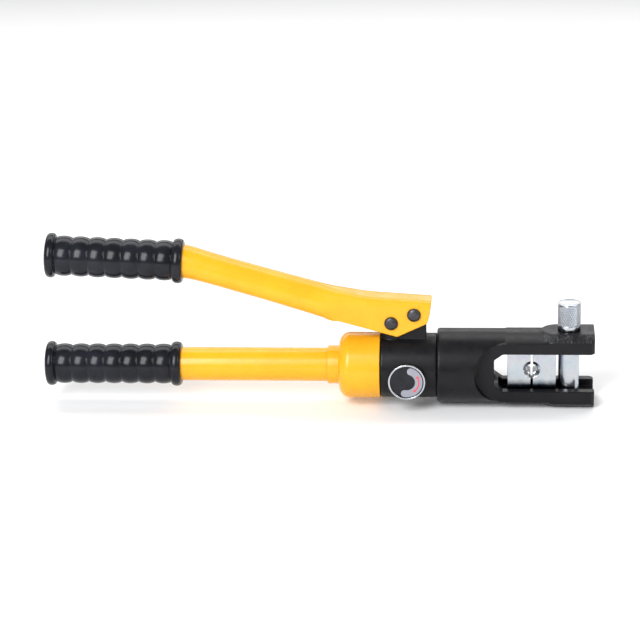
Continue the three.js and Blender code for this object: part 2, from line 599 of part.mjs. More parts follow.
// ---------------------------------------------------------------- release knob
function knobLabelOutline() {
  const mid = (knobTrim.labelInner + knobTrim.labelOuter) / 2;
  const half = (knobTrim.labelOuter - knobTrim.labelInner) / 2;
  const { labelFrom, labelTo, labelSteps, labelEndSteps } = knobTrim;
  const roundEnd = (degrees, startAngle) => {
    const angle = THREE.MathUtils.degToRad(degrees);
    const centre = [mid * Math.cos(angle), mid * Math.sin(angle)];
    return arcPoints(...centre, half, startAngle, startAngle + 180, labelEndSteps).slice(1, -1);
  };
  return [
    ...arcPoints(0, 0, knobTrim.labelOuter, labelFrom, labelTo, labelSteps),
    ...roundEnd(labelTo, labelTo),
    ...arcPoints(0, 0, knobTrim.labelInner, labelTo, labelFrom, labelSteps),
    ...roundEnd(labelFrom, labelFrom + 180),
  ].map(([dx, dz]) => [release.x + dx, release.z + dz]);
}

function releaseKnob() {
  const { x, z } = release;
  const origin = [x, 0, z];
  const backY = knobFaceY + release.knobThickness;
  const rimInner = release.knobRadius - knobTrim.rimWidth;
  const seatRadius = rimInner - touchGap;
  const discY = knobFaceY + knobTrim.discSink;
  const seatY = knobFaceY + knobTrim.rimSeat;
  const disc = turned([
    [discY, 0], [discY, seatRadius], [seatY, seatRadius],
    [seatY, release.knobRadius - knobTrim.seatInset],
    [backY, release.knobRadius - knobTrim.backInset], [backY, 0],
  ], 'y', origin, fineSides);
  const stemHole = rod(release.stemRadius + touchGap, backY - release.stemHoleDepth,
    backY + cutOverrun, 'y', origin);
  const rim = ring(rimInner, release.knobRadius, knobFaceY - knobTrim.rimHeight,
    knobFaceY + knobTrim.rimBack, 'y', origin, fineSides);
  const labelBackY = discY - knobTrim.labelGap;
  const label = plate(knobLabelOutline(), labelBackY - knobTrim.labelHeight, labelBackY);
  const stemFromY = backY - release.stemInKnob;
  const stem = turned([
    [stemFromY, 0], [stemFromY, release.stemRadius],
    [release.stemTipY - release.stemPoint, release.stemRadius],
    [release.stemTipY, release.stemPointRadius], [release.stemTipY, 0],
  ], 'y', origin);
  const ballY = release.stemTipY + touchGap + release.ballRadius;
  const ball = ballAt(release.ballRadius, x, ballY, z);
  return [
    node('release_knob', finish.charcoal, cut(disc, stemHole)),
    node('knob_rim', finish.zinc, rim),
    node('knob_label', finish.label, label),
    node('release_stem', finish.steel, stem),
    node('release_ball', finish.steel, ball),
  ];
}

// ---------------------------------------------------------------- end cap, fixed handle, bladder
function endCap() {
  const frontX = bodyRearX - touchGap;
  const corner = arcPoints(capRearX + cap.cornerRadius, cap.radius - cap.cornerRadius,
    cap.cornerRadius, 180, 90, cap.cornerSteps);
  const outside = turned([
    [collarRearX, 0], [collarRearX, cap.collarRadius], [capRearX, cap.collarRadius], ...corner,
    [frontX, cap.radius], [frontX, 0],
  ], 'x', [0, 0, 0], bodySides);
  const thread = rod(body.rearSpigotRadius + touchGap, bodyRearSpigotX - touchGap,
    frontX + cutOverrun, 'x', [0, 0, 0], fineSides);
  const cavity = rod(cap.cavityRadius, capRearX + cap.wall, frontX, 'x', [0, 0, 0], fineSides);
  const tubeHole = rod(tube.radius + touchGap, collarRearX - cutOverrun,
    capRearX + cap.wall + cutOverrun, 'x', [0, 0, 0], fineSides);
  return node('end_cap', finish.yellow, cut(outside, thread, cavity, tubeHole));
}

function fixedHandleTube() {
  return node('fixed_handle_tube', finish.yellow, ring(tube.radius - tube.wall, tube.radius,
    tubeEndX, capRearX + cap.wall + cap.tubeReach, 'x', [0, 0, 0], fineSides));
}

// A dipped vinyl sleeve, drawn from its closed end at 0 to its open mouth at grip.length.
function gripSleeve(name) {
  const bump = (from, width, height, points) => Array.from({ length: points }, (_, i) => {
    const angle = Math.PI * (i + 1) / (points + 1);
    const along = from + width * (1 - Math.cos(angle)) / 2;
    return [along, valleyRadius + height * Math.sin(angle) ** grip.roundness];
  });
  const mouthBeadX = grip.length - grip.flangeWidth;
  const pitch = (mouthBeadX - grip.flangeWidth) / grip.ribs;
  const ribs = Array.from({ length: grip.ribs }, (_, i) => {
    const from = grip.flangeWidth + pitch * i;
    return [[from, valleyRadius], ...bump(from, pitch, grip.ribLift, grip.ribPoints)];
  }).flat();
  const endBead = bump(grip.endDome, grip.flangeWidth - grip.endDome, grip.flangeLift,
    grip.flangePoints);
  const mouthBead = bump(mouthBeadX, grip.flangeWidth, grip.flangeLift, grip.flangePoints);
  const sleeve = turned([
    [0, 0], [grip.endDome, valleyRadius], ...endBead, ...ribs, [mouthBeadX, valleyRadius],
    ...mouthBead, [grip.length, valleyRadius], [grip.length, gripBore],
    [grip.endWall, gripBore], [grip.endWall, 0],
  ], 'x', [0, 0, 0], gripSides);
  return node(name, finish.grip, sleeve);
}

function fixedHandleGrip() {
  const sleeve = gripSleeve('fixed_handle_grip');
  sleeve.position.x = -fixedHandleReach;
  return sleeve;
}

function oilBladderParts() {
  const { wall, corner, taper } = bladder;
  const z = valve.axisZ;
  const mouthX = bodyRearSpigotX - touchGap;
  const shoulderX = mouthX - bladder.neckLength - bladder.shoulder;
  const rearX = tubeEndX + bladder.endRoom;
  const neckBore = spoutRadius + spout.lip + touchGap;
  const plugRadius = bladderRadius - plug.holeStep;
  const endHole = plugRadius + touchGap;
  const skin = turned([
    [rearX, endHole], [rearX, bladderRadius - corner], [rearX + corner, bladderRadius],
    [shoulderX, bladderRadius - taper], [shoulderX + corner, neckRadius],
    [mouthX, neckRadius], [mouthX, neckBore], [shoulderX + corner - taper, neckBore],
    [shoulderX - taper, bladderRadius - taper - wall],
    [rearX + corner + taper, bladderRadius - wall],
    [rearX + wall, bladderRadius - corner - taper], [rearX + wall, endHole], [rearX, endHole],
  ], 'x', [0, 0, z]);
  const clipFrom = mouthX - clip.fromMouth;
  const clipBore = neckRadius + touchGap;
  const clipRing = ring(clipBore, clipBore + clip.thickness, clipFrom, clipFrom + clip.width, 'x',
    [0, 0, z]);
  const headX = rearX - touchGap;
  const headRadius = bladderRadius - plug.headStep;
  const stopper = turned([
    [headX - plug.headLength, 0], [headX - plug.headLength, headRadius], [headX, headRadius],
    [headX, plugRadius], [headX + plug.length, plugRadius], [headX + plug.length, 0],
  ], 'x', [0, 0, z]);
  return [
    node('oil_bladder', finish.rubber, skin),
    node('bladder_clip', finish.zinc, clipRing),
    node('bladder_plug', finish.brass, stopper),
  ];
}

// ---------------------------------------------------------------- moving lever, its pins and grip
const leverSlope = THREE.MathUtils.degToRad(lever.slope);
const gripSlope = THREE.MathUtils.degToRad(lever.gripSlope);

// The bend starts just past the grip's mouth, and its height follows from the shoulder's.
const kneeX = lever.gripEndX + grip.length - grip.endWall - touchGap + lever.kneePastGrip;
const kneeZ = lever.shoulderRise + (lever.shoulderX - kneeX) * Math.tan(leverSlope);

// Height of the tube's centre line above the pivot, in front of the knee and behind it.
const tubeRise = x => kneeZ - (x - kneeX) * Math.tan(leverSlope);
const gripRise = x => kneeZ - (x - kneeX) * Math.tan(gripSlope);

// One upright section of the lever, measured from the pivot: a superellipse whose upper half is
// (top - mid) high and whose lower half is down high.
function tubeStation(x, rise, halfHeight) {
  return {
    x,
    top: rise + halfHeight,
    mid: rise,
    half: tube.radius,
    down: halfHeight,
    power: lever.roundPower,
    wall: tube.wall,
  };
}

function leverStations() {
  const tangent = lever.kneeRadius * Math.tan((leverSlope - gripSlope) / 2);
  const before = kneeX - tangent;
  const after = kneeX + tangent;
  const ovalFrom = after + lever.ovalBlend;
  const ovalTo = (ovalFrom + lever.shoulderX) / 2;
  const roundHalf = tube.radius / Math.cos(gripSlope);
  const ovalHalf = tube.radius - lever.ovalFlattening;
  const kneeRise = (gripRise(before) + tubeRise(after) + 2 * kneeZ) / 4;
  return [
    tubeStation(lever.gripEndX, gripRise(lever.gripEndX), roundHalf),
    tubeStation(before, gripRise(before), roundHalf),
    tubeStation(kneeX, kneeRise, roundHalf),
    tubeStation(ovalFrom, tubeRise(ovalFrom), ovalHalf),
    tubeStation(ovalTo, tubeRise(ovalTo), ovalHalf),
    tubeStation(lever.shoulderX, tubeRise(lever.shoulderX), tube.radius),
    ...leverSections.map(section => ({
      ...section,
      half: lever.halfWidth + section.extraHalf,
      wall: lever.wall,
    })),
  ];
}

function sectionPoint(station, angle, inset, deepen) {
  const c = Math.cos(angle);
  const s = Math.sin(angle);
  const { roundPower, openPower, lowerPowerGain } = lever;
  const lowerPower = roundPower + lowerPowerGain * (station.power - roundPower);
  const power = s >= 0 ? station.power : lowerPower;
  const upper = station.top - station.mid;
  const lower = station.down + (station.power > openPower ? deepen : 0);
  const height = (s >= 0 ? upper : lower) - inset;
  const y = (station.half - inset) * Math.sign(c) * Math.abs(c) ** (2 / power);
  const z = station.mid + height * Math.sign(s) * Math.abs(s) ** (2 / power);
  return new THREE.Vector3(pivot.x + station.x, y, pivot.z + z);
}

// A closed skin through the stations, with a fan over each end.
function loft(stations, insetOf, deepen) {
  const count = lever.sectionPoints;
  const positions = [];
  const triangle = (a, b, c) => positions.push(...a.toArray(), ...b.toArray(), ...c.toArray());
  const rings = stations.map(station => Array.from({ length: count }, (_, i) =>
    sectionPoint(station, 2 * Math.PI * (i + 0.5) / count, insetOf(station), deepen)));
  rings.slice(1).forEach((after, r) => {
    const before = rings[r];
    before.forEach((_, i) => {
      const j = (i + 1) % count;
      triangle(before[i], after[j], after[i]);
      triangle(before[i], before[j], after[j]);
    });
  });
  const centre = points => points.reduce((sum, p) => sum.add(p), new THREE.Vector3())
    .divideScalar(count);
  const first = rings[0];
  const last = rings[rings.length - 1];
  const firstCentre = centre(first);
  const lastCentre = centre(last);
  first.forEach((_, i) => {
    const j = (i + 1) % count;
    triangle(firstCentre, first[j], first[i]);
    triangle(lastCentre, last[i], last[j]);
  });
  const geometry = new THREE.BufferGeometry();
  geometry.setAttribute('position', new THREE.Float32BufferAttribute(positions, 3));
  return solid(geometry);
}

// The region below the side plates' lower edge and in front of their front edge.
function leverTrim() {
  const [firstX] = plateEdge[0];
  const [lastX] = plateEdge[plateEdge.length - 1];
  const outline = [
    [firstX, -trimReach], ...plateEdge, [lastX, trimReach], [trimReach, trimReach],
    [trimReach, -trimReach],
  ];
  return plate(outline.map(([x, z]) => [pivot.x + x, pivot.z + z]), -trimReach, trimReach);
}

function movingLever() {
  const stations = leverStations();
  const outside = cut(loft(stations, () => 0, 0), leverTrim());
  const opened = [{ ...stations[0], x: stations[0].x - cutOverrun }, ...stations.slice(1)];
  const hollow = loft(opened, station => station.wall, lever.hollowDeepen);
  const hole = (x, z, radius) => rod(radius + touchGap, -lever.halfWidth - cutOverrun,
    lever.halfWidth + cutOverrun, 'y', [x, 0, z]);
  return node('lever', finish.yellow, cut(outside, hollow,
    hole(pivot.x, pivot.z, pivot.radius), hole(linkX, linkZ, link.radius)));
}

function leverGrip() {
  const sleeve = gripSleeve('lever_grip');
  const uprightLean = tube.radius * Math.sin(gripSlope);
  const back = grip.endWall + touchGap + uprightLean;
  sleeve.position.x = pivot.x + lever.gripEndX - back * Math.cos(gripSlope);
  sleeve.position.z = pivot.z + gripRise(lever.gripEndX) + back * Math.sin(gripSlope);
  sleeve.rotation.y = gripSlope;
  return sleeve;
}

// A clevis pin: domed head on the near side, a groove and a spring clip on the far side.
function clevisPin(name, clipName, x, z, radius) {
  const outer = lever.halfWidth + touchGap;
  const groovePos = outer + rivet.clipGroove + touchGap;
  const grooveRadius = radius - rivet.grooveDepth;
  const dome = arcPoints(0, 0, 1, 0, 90, rivet.domeSteps).map(([along, out]) =>
    [-outer - rivet.headHeight * along, rivet.headRadius * out]);
  const profile = [
    ...dome.slice(0, -1),
    [-outer - rivet.headEdge, rivet.headRadius], [-outer, rivet.headRadius], [-outer, radius],
    [outer + touchGap, radius], [outer + touchGap, grooveRadius], [groovePos, grooveRadius],
    [groovePos, radius], [outer + rivet.tailLength, radius], [outer + rivet.tailLength, 0],
  ];
  const circlip = cut(
    ring(radius - rivet.clipBite, rivet.clipRadius, outer + touchGap + rivet.clipPlay,
      groovePos - rivet.clipPlay, 'y', [x, 0, z]),
    block(x - rivet.clipMouth, x + rivet.clipMouth, outer, groovePos + cutOverrun,
      z - rivet.clipRadius - cutOverrun, z),
  );
  return [
    node(name, finish.darkSteel, turned(profile, 'y', [x, 0, z])),
    node(clipName, finish.darkSteel, circlip),
  ];
}

// ---------------------------------------------------------------- the whole tool
const tool = new THREE.Group();
tool.add(
  forkHead(), headLockScrew(),
  ramPiston(), ramSealRing(), ramBackupRing(), returnSpring(),
  dieBlock('moving_die', movingDieX, 1), dieBlock('anvil_die', anvilDieX, -1),
  retainingPin(), ...pinDetent(),
  pumpBody(), ...plungerParts(),
  ...checkValve('suction', bodyRearSpigotX + valve.suctionFromX, 0, valve.axisZ,
    linkX - pump.plungerRadius, valve.suctionSeat),
  ...checkValve('delivery', linkX + pump.plungerRadius + valve.deliveryFromX, 0, valve.axisZ,
    chamberRearX - valve.springEndGap, valve.deliverySeat),
  ...reliefValve(),
  ...releaseKnob(),
  endCap(), fixedHandleTube(), fixedHandleGrip(), ...oilBladderParts(),
  movingLever(), leverGrip(),
  ...clevisPin('pivot_pin', 'pivot_clip', pivot.x, pivot.z, pivot.radius),
  ...clevisPin('link_pin', 'link_clip', linkX, linkZ, link.radius),
);

export default tool;
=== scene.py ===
"""Looks for the hydraulic hand crimping tool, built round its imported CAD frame.

Lengths are written in millimetres in the row frame and turned to metres by MM as a mesh is made.
"""
import json
import math

import bmesh
import bpy
from mathutils import Matrix, Vector


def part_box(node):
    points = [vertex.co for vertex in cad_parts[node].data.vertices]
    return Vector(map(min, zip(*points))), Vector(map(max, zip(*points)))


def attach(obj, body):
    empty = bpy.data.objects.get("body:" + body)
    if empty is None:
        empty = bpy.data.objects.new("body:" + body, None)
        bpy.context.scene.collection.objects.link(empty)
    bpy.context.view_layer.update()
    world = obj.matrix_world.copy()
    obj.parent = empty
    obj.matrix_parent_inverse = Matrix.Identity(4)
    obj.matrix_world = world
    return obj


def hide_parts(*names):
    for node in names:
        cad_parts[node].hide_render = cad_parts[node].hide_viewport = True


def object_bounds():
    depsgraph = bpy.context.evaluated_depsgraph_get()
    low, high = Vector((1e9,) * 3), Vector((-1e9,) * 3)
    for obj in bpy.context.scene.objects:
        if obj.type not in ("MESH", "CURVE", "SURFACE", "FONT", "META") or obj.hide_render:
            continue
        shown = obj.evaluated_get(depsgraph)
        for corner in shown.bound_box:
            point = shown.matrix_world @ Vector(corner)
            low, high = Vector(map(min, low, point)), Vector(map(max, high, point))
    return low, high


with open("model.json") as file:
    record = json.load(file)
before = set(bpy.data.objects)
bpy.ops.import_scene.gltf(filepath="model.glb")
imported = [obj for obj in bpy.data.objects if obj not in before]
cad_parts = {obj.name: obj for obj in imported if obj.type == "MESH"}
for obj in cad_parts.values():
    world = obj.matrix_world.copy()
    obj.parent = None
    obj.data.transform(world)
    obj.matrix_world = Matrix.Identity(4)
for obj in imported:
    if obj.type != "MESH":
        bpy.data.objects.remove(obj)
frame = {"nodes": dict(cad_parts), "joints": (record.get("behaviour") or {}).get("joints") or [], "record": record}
CAD_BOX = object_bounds()
MM = 0.001


def span(node):
    """A CAD node's extents in millimetres: ((x0, x1), (y0, y1), (z0, z1))."""
    low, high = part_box(node)
    return tuple((a / MM, b / MM) for a, b in zip(low, high))


def joint_place(name):
    """Where a hinge's axis passes, in millimetres."""
    found = next(j for j in frame["joints"] if j["name"] == name)
    return Vector(found["pos_m"]) / MM


def middle(extent):
    return sum(extent) / 2


def half(extent):
    return (extent[1] - extent[0]) / 2


# ------------------------------------------------------------------ mesh helpers
def new_object(name, vertices, faces):
    mesh = bpy.data.meshes.new(name)
    mesh.from_pydata([Vector(v) * MM for v in vertices], [], faces)
    turned = bmesh.new()
    turned.from_mesh(mesh)
    bmesh.ops.recalc_face_normals(turned, faces=turned.faces)
    turned.to_mesh(mesh)
    turned.free()
    obj = bpy.data.objects.new(name, mesh)
    bpy.context.scene.collection.objects.link(obj)
    return obj


AXES = {
    "x": lambda along, u, v: (along, u, v),
    "y": lambda along, u, v: (u, along, v),
    "z": lambda along, u, v: (u, v, along),
}


def skin(rings, closed_loop=False):
    """Quads between rings of points; a ring of one point is a pole."""
    vertices = []
    starts = []
    for ring in rings:
        starts.append(len(vertices))
        vertices.extend(ring)
    faces = []
    pairs = list(zip(range(len(rings)), range(1, len(rings))))
    if closed_loop:
        pairs.append((len(rings) - 1, 0))
    for a, b in pairs:
        count = max(len(rings[a]), len(rings[b]))
        for i in range(count):
            j = (i + 1) % count
            quad = [starts[a] + (i if len(rings[a]) > 1 else 0),
                    starts[a] + (j if len(rings[a]) > 1 else 0),
                    starts[b] + (j if len(rings[b]) > 1 else 0),
                    starts[b] + (i if len(rings[b]) > 1 else 0)]
            faces.append(list(dict.fromkeys(quad)))
    return vertices, faces


def loft(name, rings):
    """A skin over rings of equal count, with a flat face at each end."""
    vertices, faces = skin(rings)
    count = len(rings[0])
    faces.append(list(range(count)))
    faces.append(list(range(len(vertices) - 1, len(vertices) - 1 - count, -1)))
    return new_object(name, vertices, faces)


def lathe(name, profile, axis, centre=(0, 0, 0), sides=160, shape=None):
    """Turns [along, radius] pairs; shape(along, radius, angle) may change the radius."""
    rings = []
    for along, radius in profile:
        if radius <= 0:
            rings.append([AXES[axis](along, 0, 0)])
            continue
        ring = []
        for i in range(sides):
            angle = 2 * math.pi * i / sides
            r = shape(along, radius, angle) if shape else radius
            ring.append(AXES[axis](along, r * math.cos(angle), r * math.sin(angle)))
        rings.append(ring)
    hollow = profile[0][1] > 0
    vertices, faces = skin(rings, closed_loop=hollow)
    vertices = [tuple(a + b for a, b in zip(v, centre)) for v in vertices]
    return new_object(name, vertices, faces)


def prism(name, outline, axis, low, high):
    """An outline of [u, v] points carried along an axis from low to high."""
    count = len(outline)
    vertices = [AXES[axis](low, u, v) for u, v in outline]
    vertices += [AXES[axis](high, u, v) for u, v in outline]
    faces = [list(range(count)), list(range(2 * count - 1, count - 1, -1))]
    for i in range(count):
        j = (i + 1) % count
        faces.append([i, j, count + j, count + i])
    return new_object(name, vertices, faces)


def rod(radius, low, high, axis, centre=(0, 0, 0), sides=160):
    return lathe("rod", [(low, 0), (low, radius), (high, radius), (high, 0)], axis, centre, sides)


def polar(radius, degrees):
    angle = math.radians(degrees)
    return radius * math.cos(angle), radius * math.sin(angle)


def arc(cu, cv, radius, start, end, steps):
    """Points round (cu, cv) from one angle to another, in degrees."""
    points = []
    for i in range(steps + 1):
        u, v = polar(radius, start + (end - start) * i / steps)
        points.append((cu + u, cv + v))
    return points


def rounded(points, radius, closed=False, steps=4):
    """A polyline with each corner turned into a small arc of about the given radius."""
    result = []
    last = len(points) - 1
    for i, point in enumerate(points):
        if not closed and i in (0, last):
            result.append(point)
            continue
        here = Vector(point)
        back = Vector(points[i - 1]) - here
        ahead = Vector(points[(i + 1) % len(points)]) - here
        reach = min(radius, back.length * 0.45, ahead.length * 0.45)
        start = here + back.normalized() * reach
        end = here + ahead.normalized() * reach
        for k in range(steps + 1):
            t = k / steps
            p = start * (1 - t) ** 2 + here * (2 * t * (1 - t)) + end * t ** 2
            result.append((p.x, p.y))
    return result


def bake_modifiers(obj):
    evaluated = obj.evaluated_get(bpy.context.evaluated_depsgraph_get())
    mesh = bpy.data.meshes.new_from_object(evaluated)
    old = obj.data
    obj.modifiers.clear()
    obj.data = mesh
    bpy.data.meshes.remove(old)


def combine(operation, base, *tools):
    for tool in tools:
        modifier = base.modifiers.new("boolean", "BOOLEAN")
        modifier.operation = operation
        modifier.solver = "MANIFOLD"
        modifier.object = tool
        bake_modifiers(base)
        bpy.data.objects.remove(tool)
    return base


def cut(base, *tools):
    return combine("DIFFERENCE", base, *tools)


def join(base, *tools):
    return combine("UNION", base, *tools)


def soften(obj, voxel=0.6, passes=5):
    """Rounds every edge a little, as casting, forming and paint do."""
    coarse = 1.0
    remesh = obj.modifiers.new("remesh", "REMESH")
    remesh.mode = "VOXEL"
    remesh.voxel_size = voxel * coarse * MM
    remesh.use_smooth_shade = True
    smooth = obj.modifiers.new("smooth", "SMOOTH")
    smooth.factor = 0.5
    smooth.iterations = passes
    bake_modifiers(obj)


def shade(obj):
    """Smooth shading that keeps flat faces flat."""
    obj.data.shade_smooth()
    modifier = obj.modifiers.new("weighted", "WEIGHTED_NORMAL")
    modifier.keep_sharp = True
    return obj


# ------------------------------------------------------------------ materials
class Graph:
    """A small helper round one material's node tree."""

    def __init__(self, name):
        self.material = bpy.data.materials.new(name)
        self.material.use_nodes = True
        self.tree = self.material.node_tree
        self.shader = self.tree.nodes["Principled BSDF"]
        self.place = self.node("ShaderNodeTexCoord").outputs["Object"]

    def node(self, kind, **settings):
        node = self.tree.nodes.new(kind)
        for key, value in settings.items():
            setattr(node, key, value)
        return node

    def link(self, source, target):
        self.tree.links.new(source, target)

    def stretched(self, scale, turn=0):
        """Object coordinates scaled on each axis, then turned about Z by so many degrees."""
        mapping = self.node("ShaderNodeMapping")
        mapping.inputs["Scale"].default_value = scale
        mapping.inputs["Rotation"].default_value = (0.0, 0.0, math.radians(turn))
        self.link(self.place, mapping.inputs["Vector"])
        return mapping.outputs["Vector"]

    def noise(self, scale, detail=4.0, rough=0.55, where=None, distortion=0.0):
        node = self.node("ShaderNodeTexNoise")
        node.inputs["Scale"].default_value = scale
        node.inputs["Detail"].default_value = detail
        node.inputs["Roughness"].default_value = rough
        node.inputs["Distortion"].default_value = distortion
        self.link(where or self.place, node.inputs["Vector"])
        return node.outputs["Fac"]

    def ramp(self, source, *stops):
        """stops are (position, value); value is a number or a colour."""
        node = self.node("ShaderNodeValToRGB")
        elements = node.color_ramp.elements
        while len(elements) < len(stops):
            elements.new(0.5)
        for element, (position, value) in zip(elements, stops):
            element.position = position
            colour = value if isinstance(value, tuple) else (value, value, value)
            element.color = (*colour, 1.0)
        self.link(source, node.inputs["Fac"])
        return node.outputs["Color"]

    def mix(self, factor, first, second, blend="MIX"):
        node = self.node("ShaderNodeMix", data_type="RGBA", blend_type=blend)
        for socket, value in ((node.inputs["Factor"], factor), (node.inputs["A"], first),
                              (node.inputs["B"], second)):
            self.fill(socket, value)
        return node.outputs["Result"]

    def fill(self, socket, value):
        if isinstance(value, bpy.types.NodeSocket):
            self.link(value, socket)
        elif isinstance(value, tuple):
            socket.default_value = (*value, 1.0)
        elif socket.type == "RGBA":
            socket.default_value = (value, value, value, 1.0)
        else:
            socket.default_value = value

    def maths(self, operation, first, second, clamp=True):
        node = self.node("ShaderNodeMath", operation=operation, use_clamp=clamp)
        self.fill(node.inputs[0], first)
        self.fill(node.inputs[1], second)
        return node.outputs["Value"]

    def bump(self, height, strength, distance, before=None):
        node = self.node("ShaderNodeBump")
        node.inputs["Strength"].default_value = strength
        node.inputs["Distance"].default_value = distance * MM
        self.link(height, node.inputs["Height"])
        if before is not None:
            self.link(before, node.inputs["Normal"])
        return node.outputs["Normal"]

    def edges(self, low, high):
        """1 along outer edges, 0 on flat and hollow places."""
        geometry = self.node("ShaderNodeNewGeometry")
        return self.ramp(geometry.outputs["Pointiness"], (low, 0.0), (high, 1.0))

    def finish(self, colour, roughness, normal=None, **constants):
        self.fill(self.shader.inputs["Base Color"], colour)
        self.fill(self.shader.inputs["Roughness"], roughness)
        if normal is not None:
            self.link(normal, self.shader.inputs["Normal"])
        for key, value in constants.items():
            self.shader.inputs[key.replace("_", " ")].default_value = value
        return self.material


def yellow_enamel():
    g = Graph("yellow_enamel")
    tone = g.ramp(g.noise(28, 3), (0.35, (0.80, 0.38, 0.010)), (0.65, (0.86, 0.425, 0.016)))
    dust = g.ramp(g.noise(260, 6, 0.7), (0.62, 0.0), (0.74, 0.20))
    tone = g.mix(dust, tone, (0.80, 0.50, 0.09))
    rough = g.ramp(g.noise(60, 5), (0.35, 0.20), (0.68, 0.34))
    orange_peel = g.bump(g.noise(520, 2, 0.5), 0.16, 0.10)
    normal = g.bump(g.noise(2600, 2, 0.5), 0.05, 0.05, orange_peel)
    return g.finish(tone, rough, normal, Specular_IOR_Level=0.35)


def black_enamel():
    g = Graph("black_enamel")
    tone = g.ramp(g.noise(35, 4), (0.30, (0.0050, 0.0050, 0.0060)), (0.70, (0.0105, 0.0102, 0.0118)))
    patches = g.ramp(g.noise(420, 6, 0.7), (0.50, 0.0), (0.60, 1.0))
    worn = g.maths("MULTIPLY", g.edges(0.545, 0.60), patches)
    tone = g.mix(worn, tone, (0.10, 0.10, 0.105))
    specks = g.ramp(g.noise(900, 3, 0.6), (0.70, 0.0), (0.76, 0.5))
    tone = g.mix(specks, tone, (0.045, 0.045, 0.05))
    rough = g.ramp(g.noise(90, 6, 0.65), (0.32, 0.26), (0.70, 0.44))
    cast_skin = g.bump(g.noise(160, 3, 0.5), 0.10, 0.25)
    normal = g.bump(g.noise(700, 3, 0.6), 0.16, 0.08, cast_skin)
    return g.finish(tone, rough, normal, Specular_IOR_Level=0.20)


def ground_enamel():
    """Black paint over a hand-ground face, chipped in slanting strokes."""
    g = Graph("black_enamel_ground")
    slant = g.stretched((2.6, 0.7, 1.2), turn=48)
    strokes = g.ramp(g.noise(190, 7, 0.72, where=slant, distortion=1.2), (0.48, 0.0), (0.60, 1.0))
    patches = g.ramp(g.noise(75, 3, 0.5), (0.36, 0.25), (0.50, 1.0))
    chips = g.maths("MULTIPLY", strokes, patches)
    tone = g.mix(chips, (0.0085, 0.0085, 0.0095), (0.072, 0.072, 0.080))
    rough = g.ramp(g.noise(500, 4), (0.35, 0.26), (0.65, 0.48))
    normal = g.bump(g.noise(230, 5, 0.6, where=slant), 0.5, 0.35, g.bump(chips, 0.6, 0.30))
    return g.finish(tone, rough, normal, Specular_IOR_Level=0.28)


def paint_arm_shade(g, tone):
    """Painted shade and reflection of the lower arm: darkens a piece towards its foot, with a wandering edge."""
    height = g.node("ShaderNodeSeparateXYZ")
    g.link(g.place, height.inputs["Vector"])
    wander = g.maths("MULTIPLY", g.noise(140, 4), 6 * MM)
    edge = g.maths("ADD", height.outputs["Z"], wander, clamp=False)
    lift = g.node("ShaderNodeMapRange", clamp=True)
    lift.inputs["From Min"].default_value = -13.5 * MM
    lift.inputs["From Max"].default_value = -6.0 * MM
    g.link(edge, lift.inputs["Value"])
    # painted shade: a dark bluish band standing for the lower arm's shade and reflection
    shade_colours = g.ramp(lift.outputs["Result"], (0.0, (0.035, 0.040, 0.052)), (0.25, (0.10, 0.115, 0.14)),
                  (1.0, (1.0, 1.0, 1.0)))
    return g.mix(1.0, tone, shade_colours, "MULTIPLY")


def zinc_plate(name, streak=(1.0, 1.0, 1.0), tint=0.5, arm_shaded=False):
    """Bright zinc; on a shaded piece, painted shade and reflection darken it towards the lower arm it stands in.
    """
    g = Graph(name)
    tone = g.ramp(g.noise(95, 5, 0.6, distortion=0.6), (0.30, (0.38, 0.44, 0.50)),
                  (0.50, (0.50, 0.54, 0.58)), (0.72, (0.58, 0.58, 0.60)))
    sheen = g.ramp(g.noise(60, 3, 0.5, distortion=1.5), (0.40, (0.46, 0.54, 0.60)),
                   (0.50, (0.56, 0.56, 0.54)), (0.60, (0.51, 0.49, 0.58)))
    tone = g.mix(tint, tone, sheen)
    blotch = g.ramp(g.noise(330, 6, 0.7), (0.56, 0.0), (0.70, 0.35))
    tone = g.mix(blotch, tone, (0.30, 0.34, 0.39))
    # painted shade and reflection of the lower arm, darker towards the foot
    if arm_shaded:
        tone = paint_arm_shade(g, tone)
    rough = g.ramp(g.noise(240, 5, 0.65), (0.35, 0.13), (0.68, 0.28))
    normal = g.bump(g.noise(900, 3, 0.6, where=g.stretched(streak)), 0.20, 0.06)
    return g.finish(tone, rough, normal, Metallic=1.0)


def metal(name, dark, light, roughness, streak=(1, 1, 1), scale=700):
    """Bare or plated metal, brighter along its edges; streak stretches the fine lines."""
    g = Graph(name)
    tone = g.ramp(g.noise(120, 5, 0.6), (0.32, dark), (0.68, light))
    bright = tuple(min(1.0, c * 1.8) for c in light)
    tone = g.mix(g.maths("MULTIPLY", g.edges(0.53, 0.60), 0.5), tone, bright)
    rough = g.ramp(g.noise(300, 5, 0.6), (0.35, roughness[0]), (0.65, roughness[1]))
    normal = g.bump(g.noise(scale, 3, 0.6, where=g.stretched(streak)), 0.25, 0.06)
    return g.finish(tone, rough, normal, Metallic=1.0)


def grip_vinyl():
    g = Graph("grip_vinyl")
    tone = g.ramp(g.noise(50, 3), (0.35, (0.0065, 0.007, 0.0095)), (0.68, (0.013, 0.014, 0.020)))
    smear = g.ramp(g.noise(70, 6, 0.7, distortion=0.8), (0.55, 0.0), (0.75, 0.35))
    rough = g.mix(smear, g.ramp(g.noise(500, 4), (0.35, 0.16), (0.65, 0.24)), 0.42)
    return g.finish(tone, rough, g.bump(g.noise(420, 3, 0.5), 0.12, 0.12), Specular_IOR_Level=0.24)


def soft_plastic(name, dark, light, roughness, bump=0.12):
    g = Graph(name)
    tone = g.ramp(g.noise(80, 4), (0.35, dark), (0.65, light))
    rough = g.ramp(g.noise(250, 5, 0.65), (0.35, roughness[0]), (0.65, roughness[1]))
    return g.finish(tone, rough, g.bump(g.noise(600, 3), bump, 0.08))


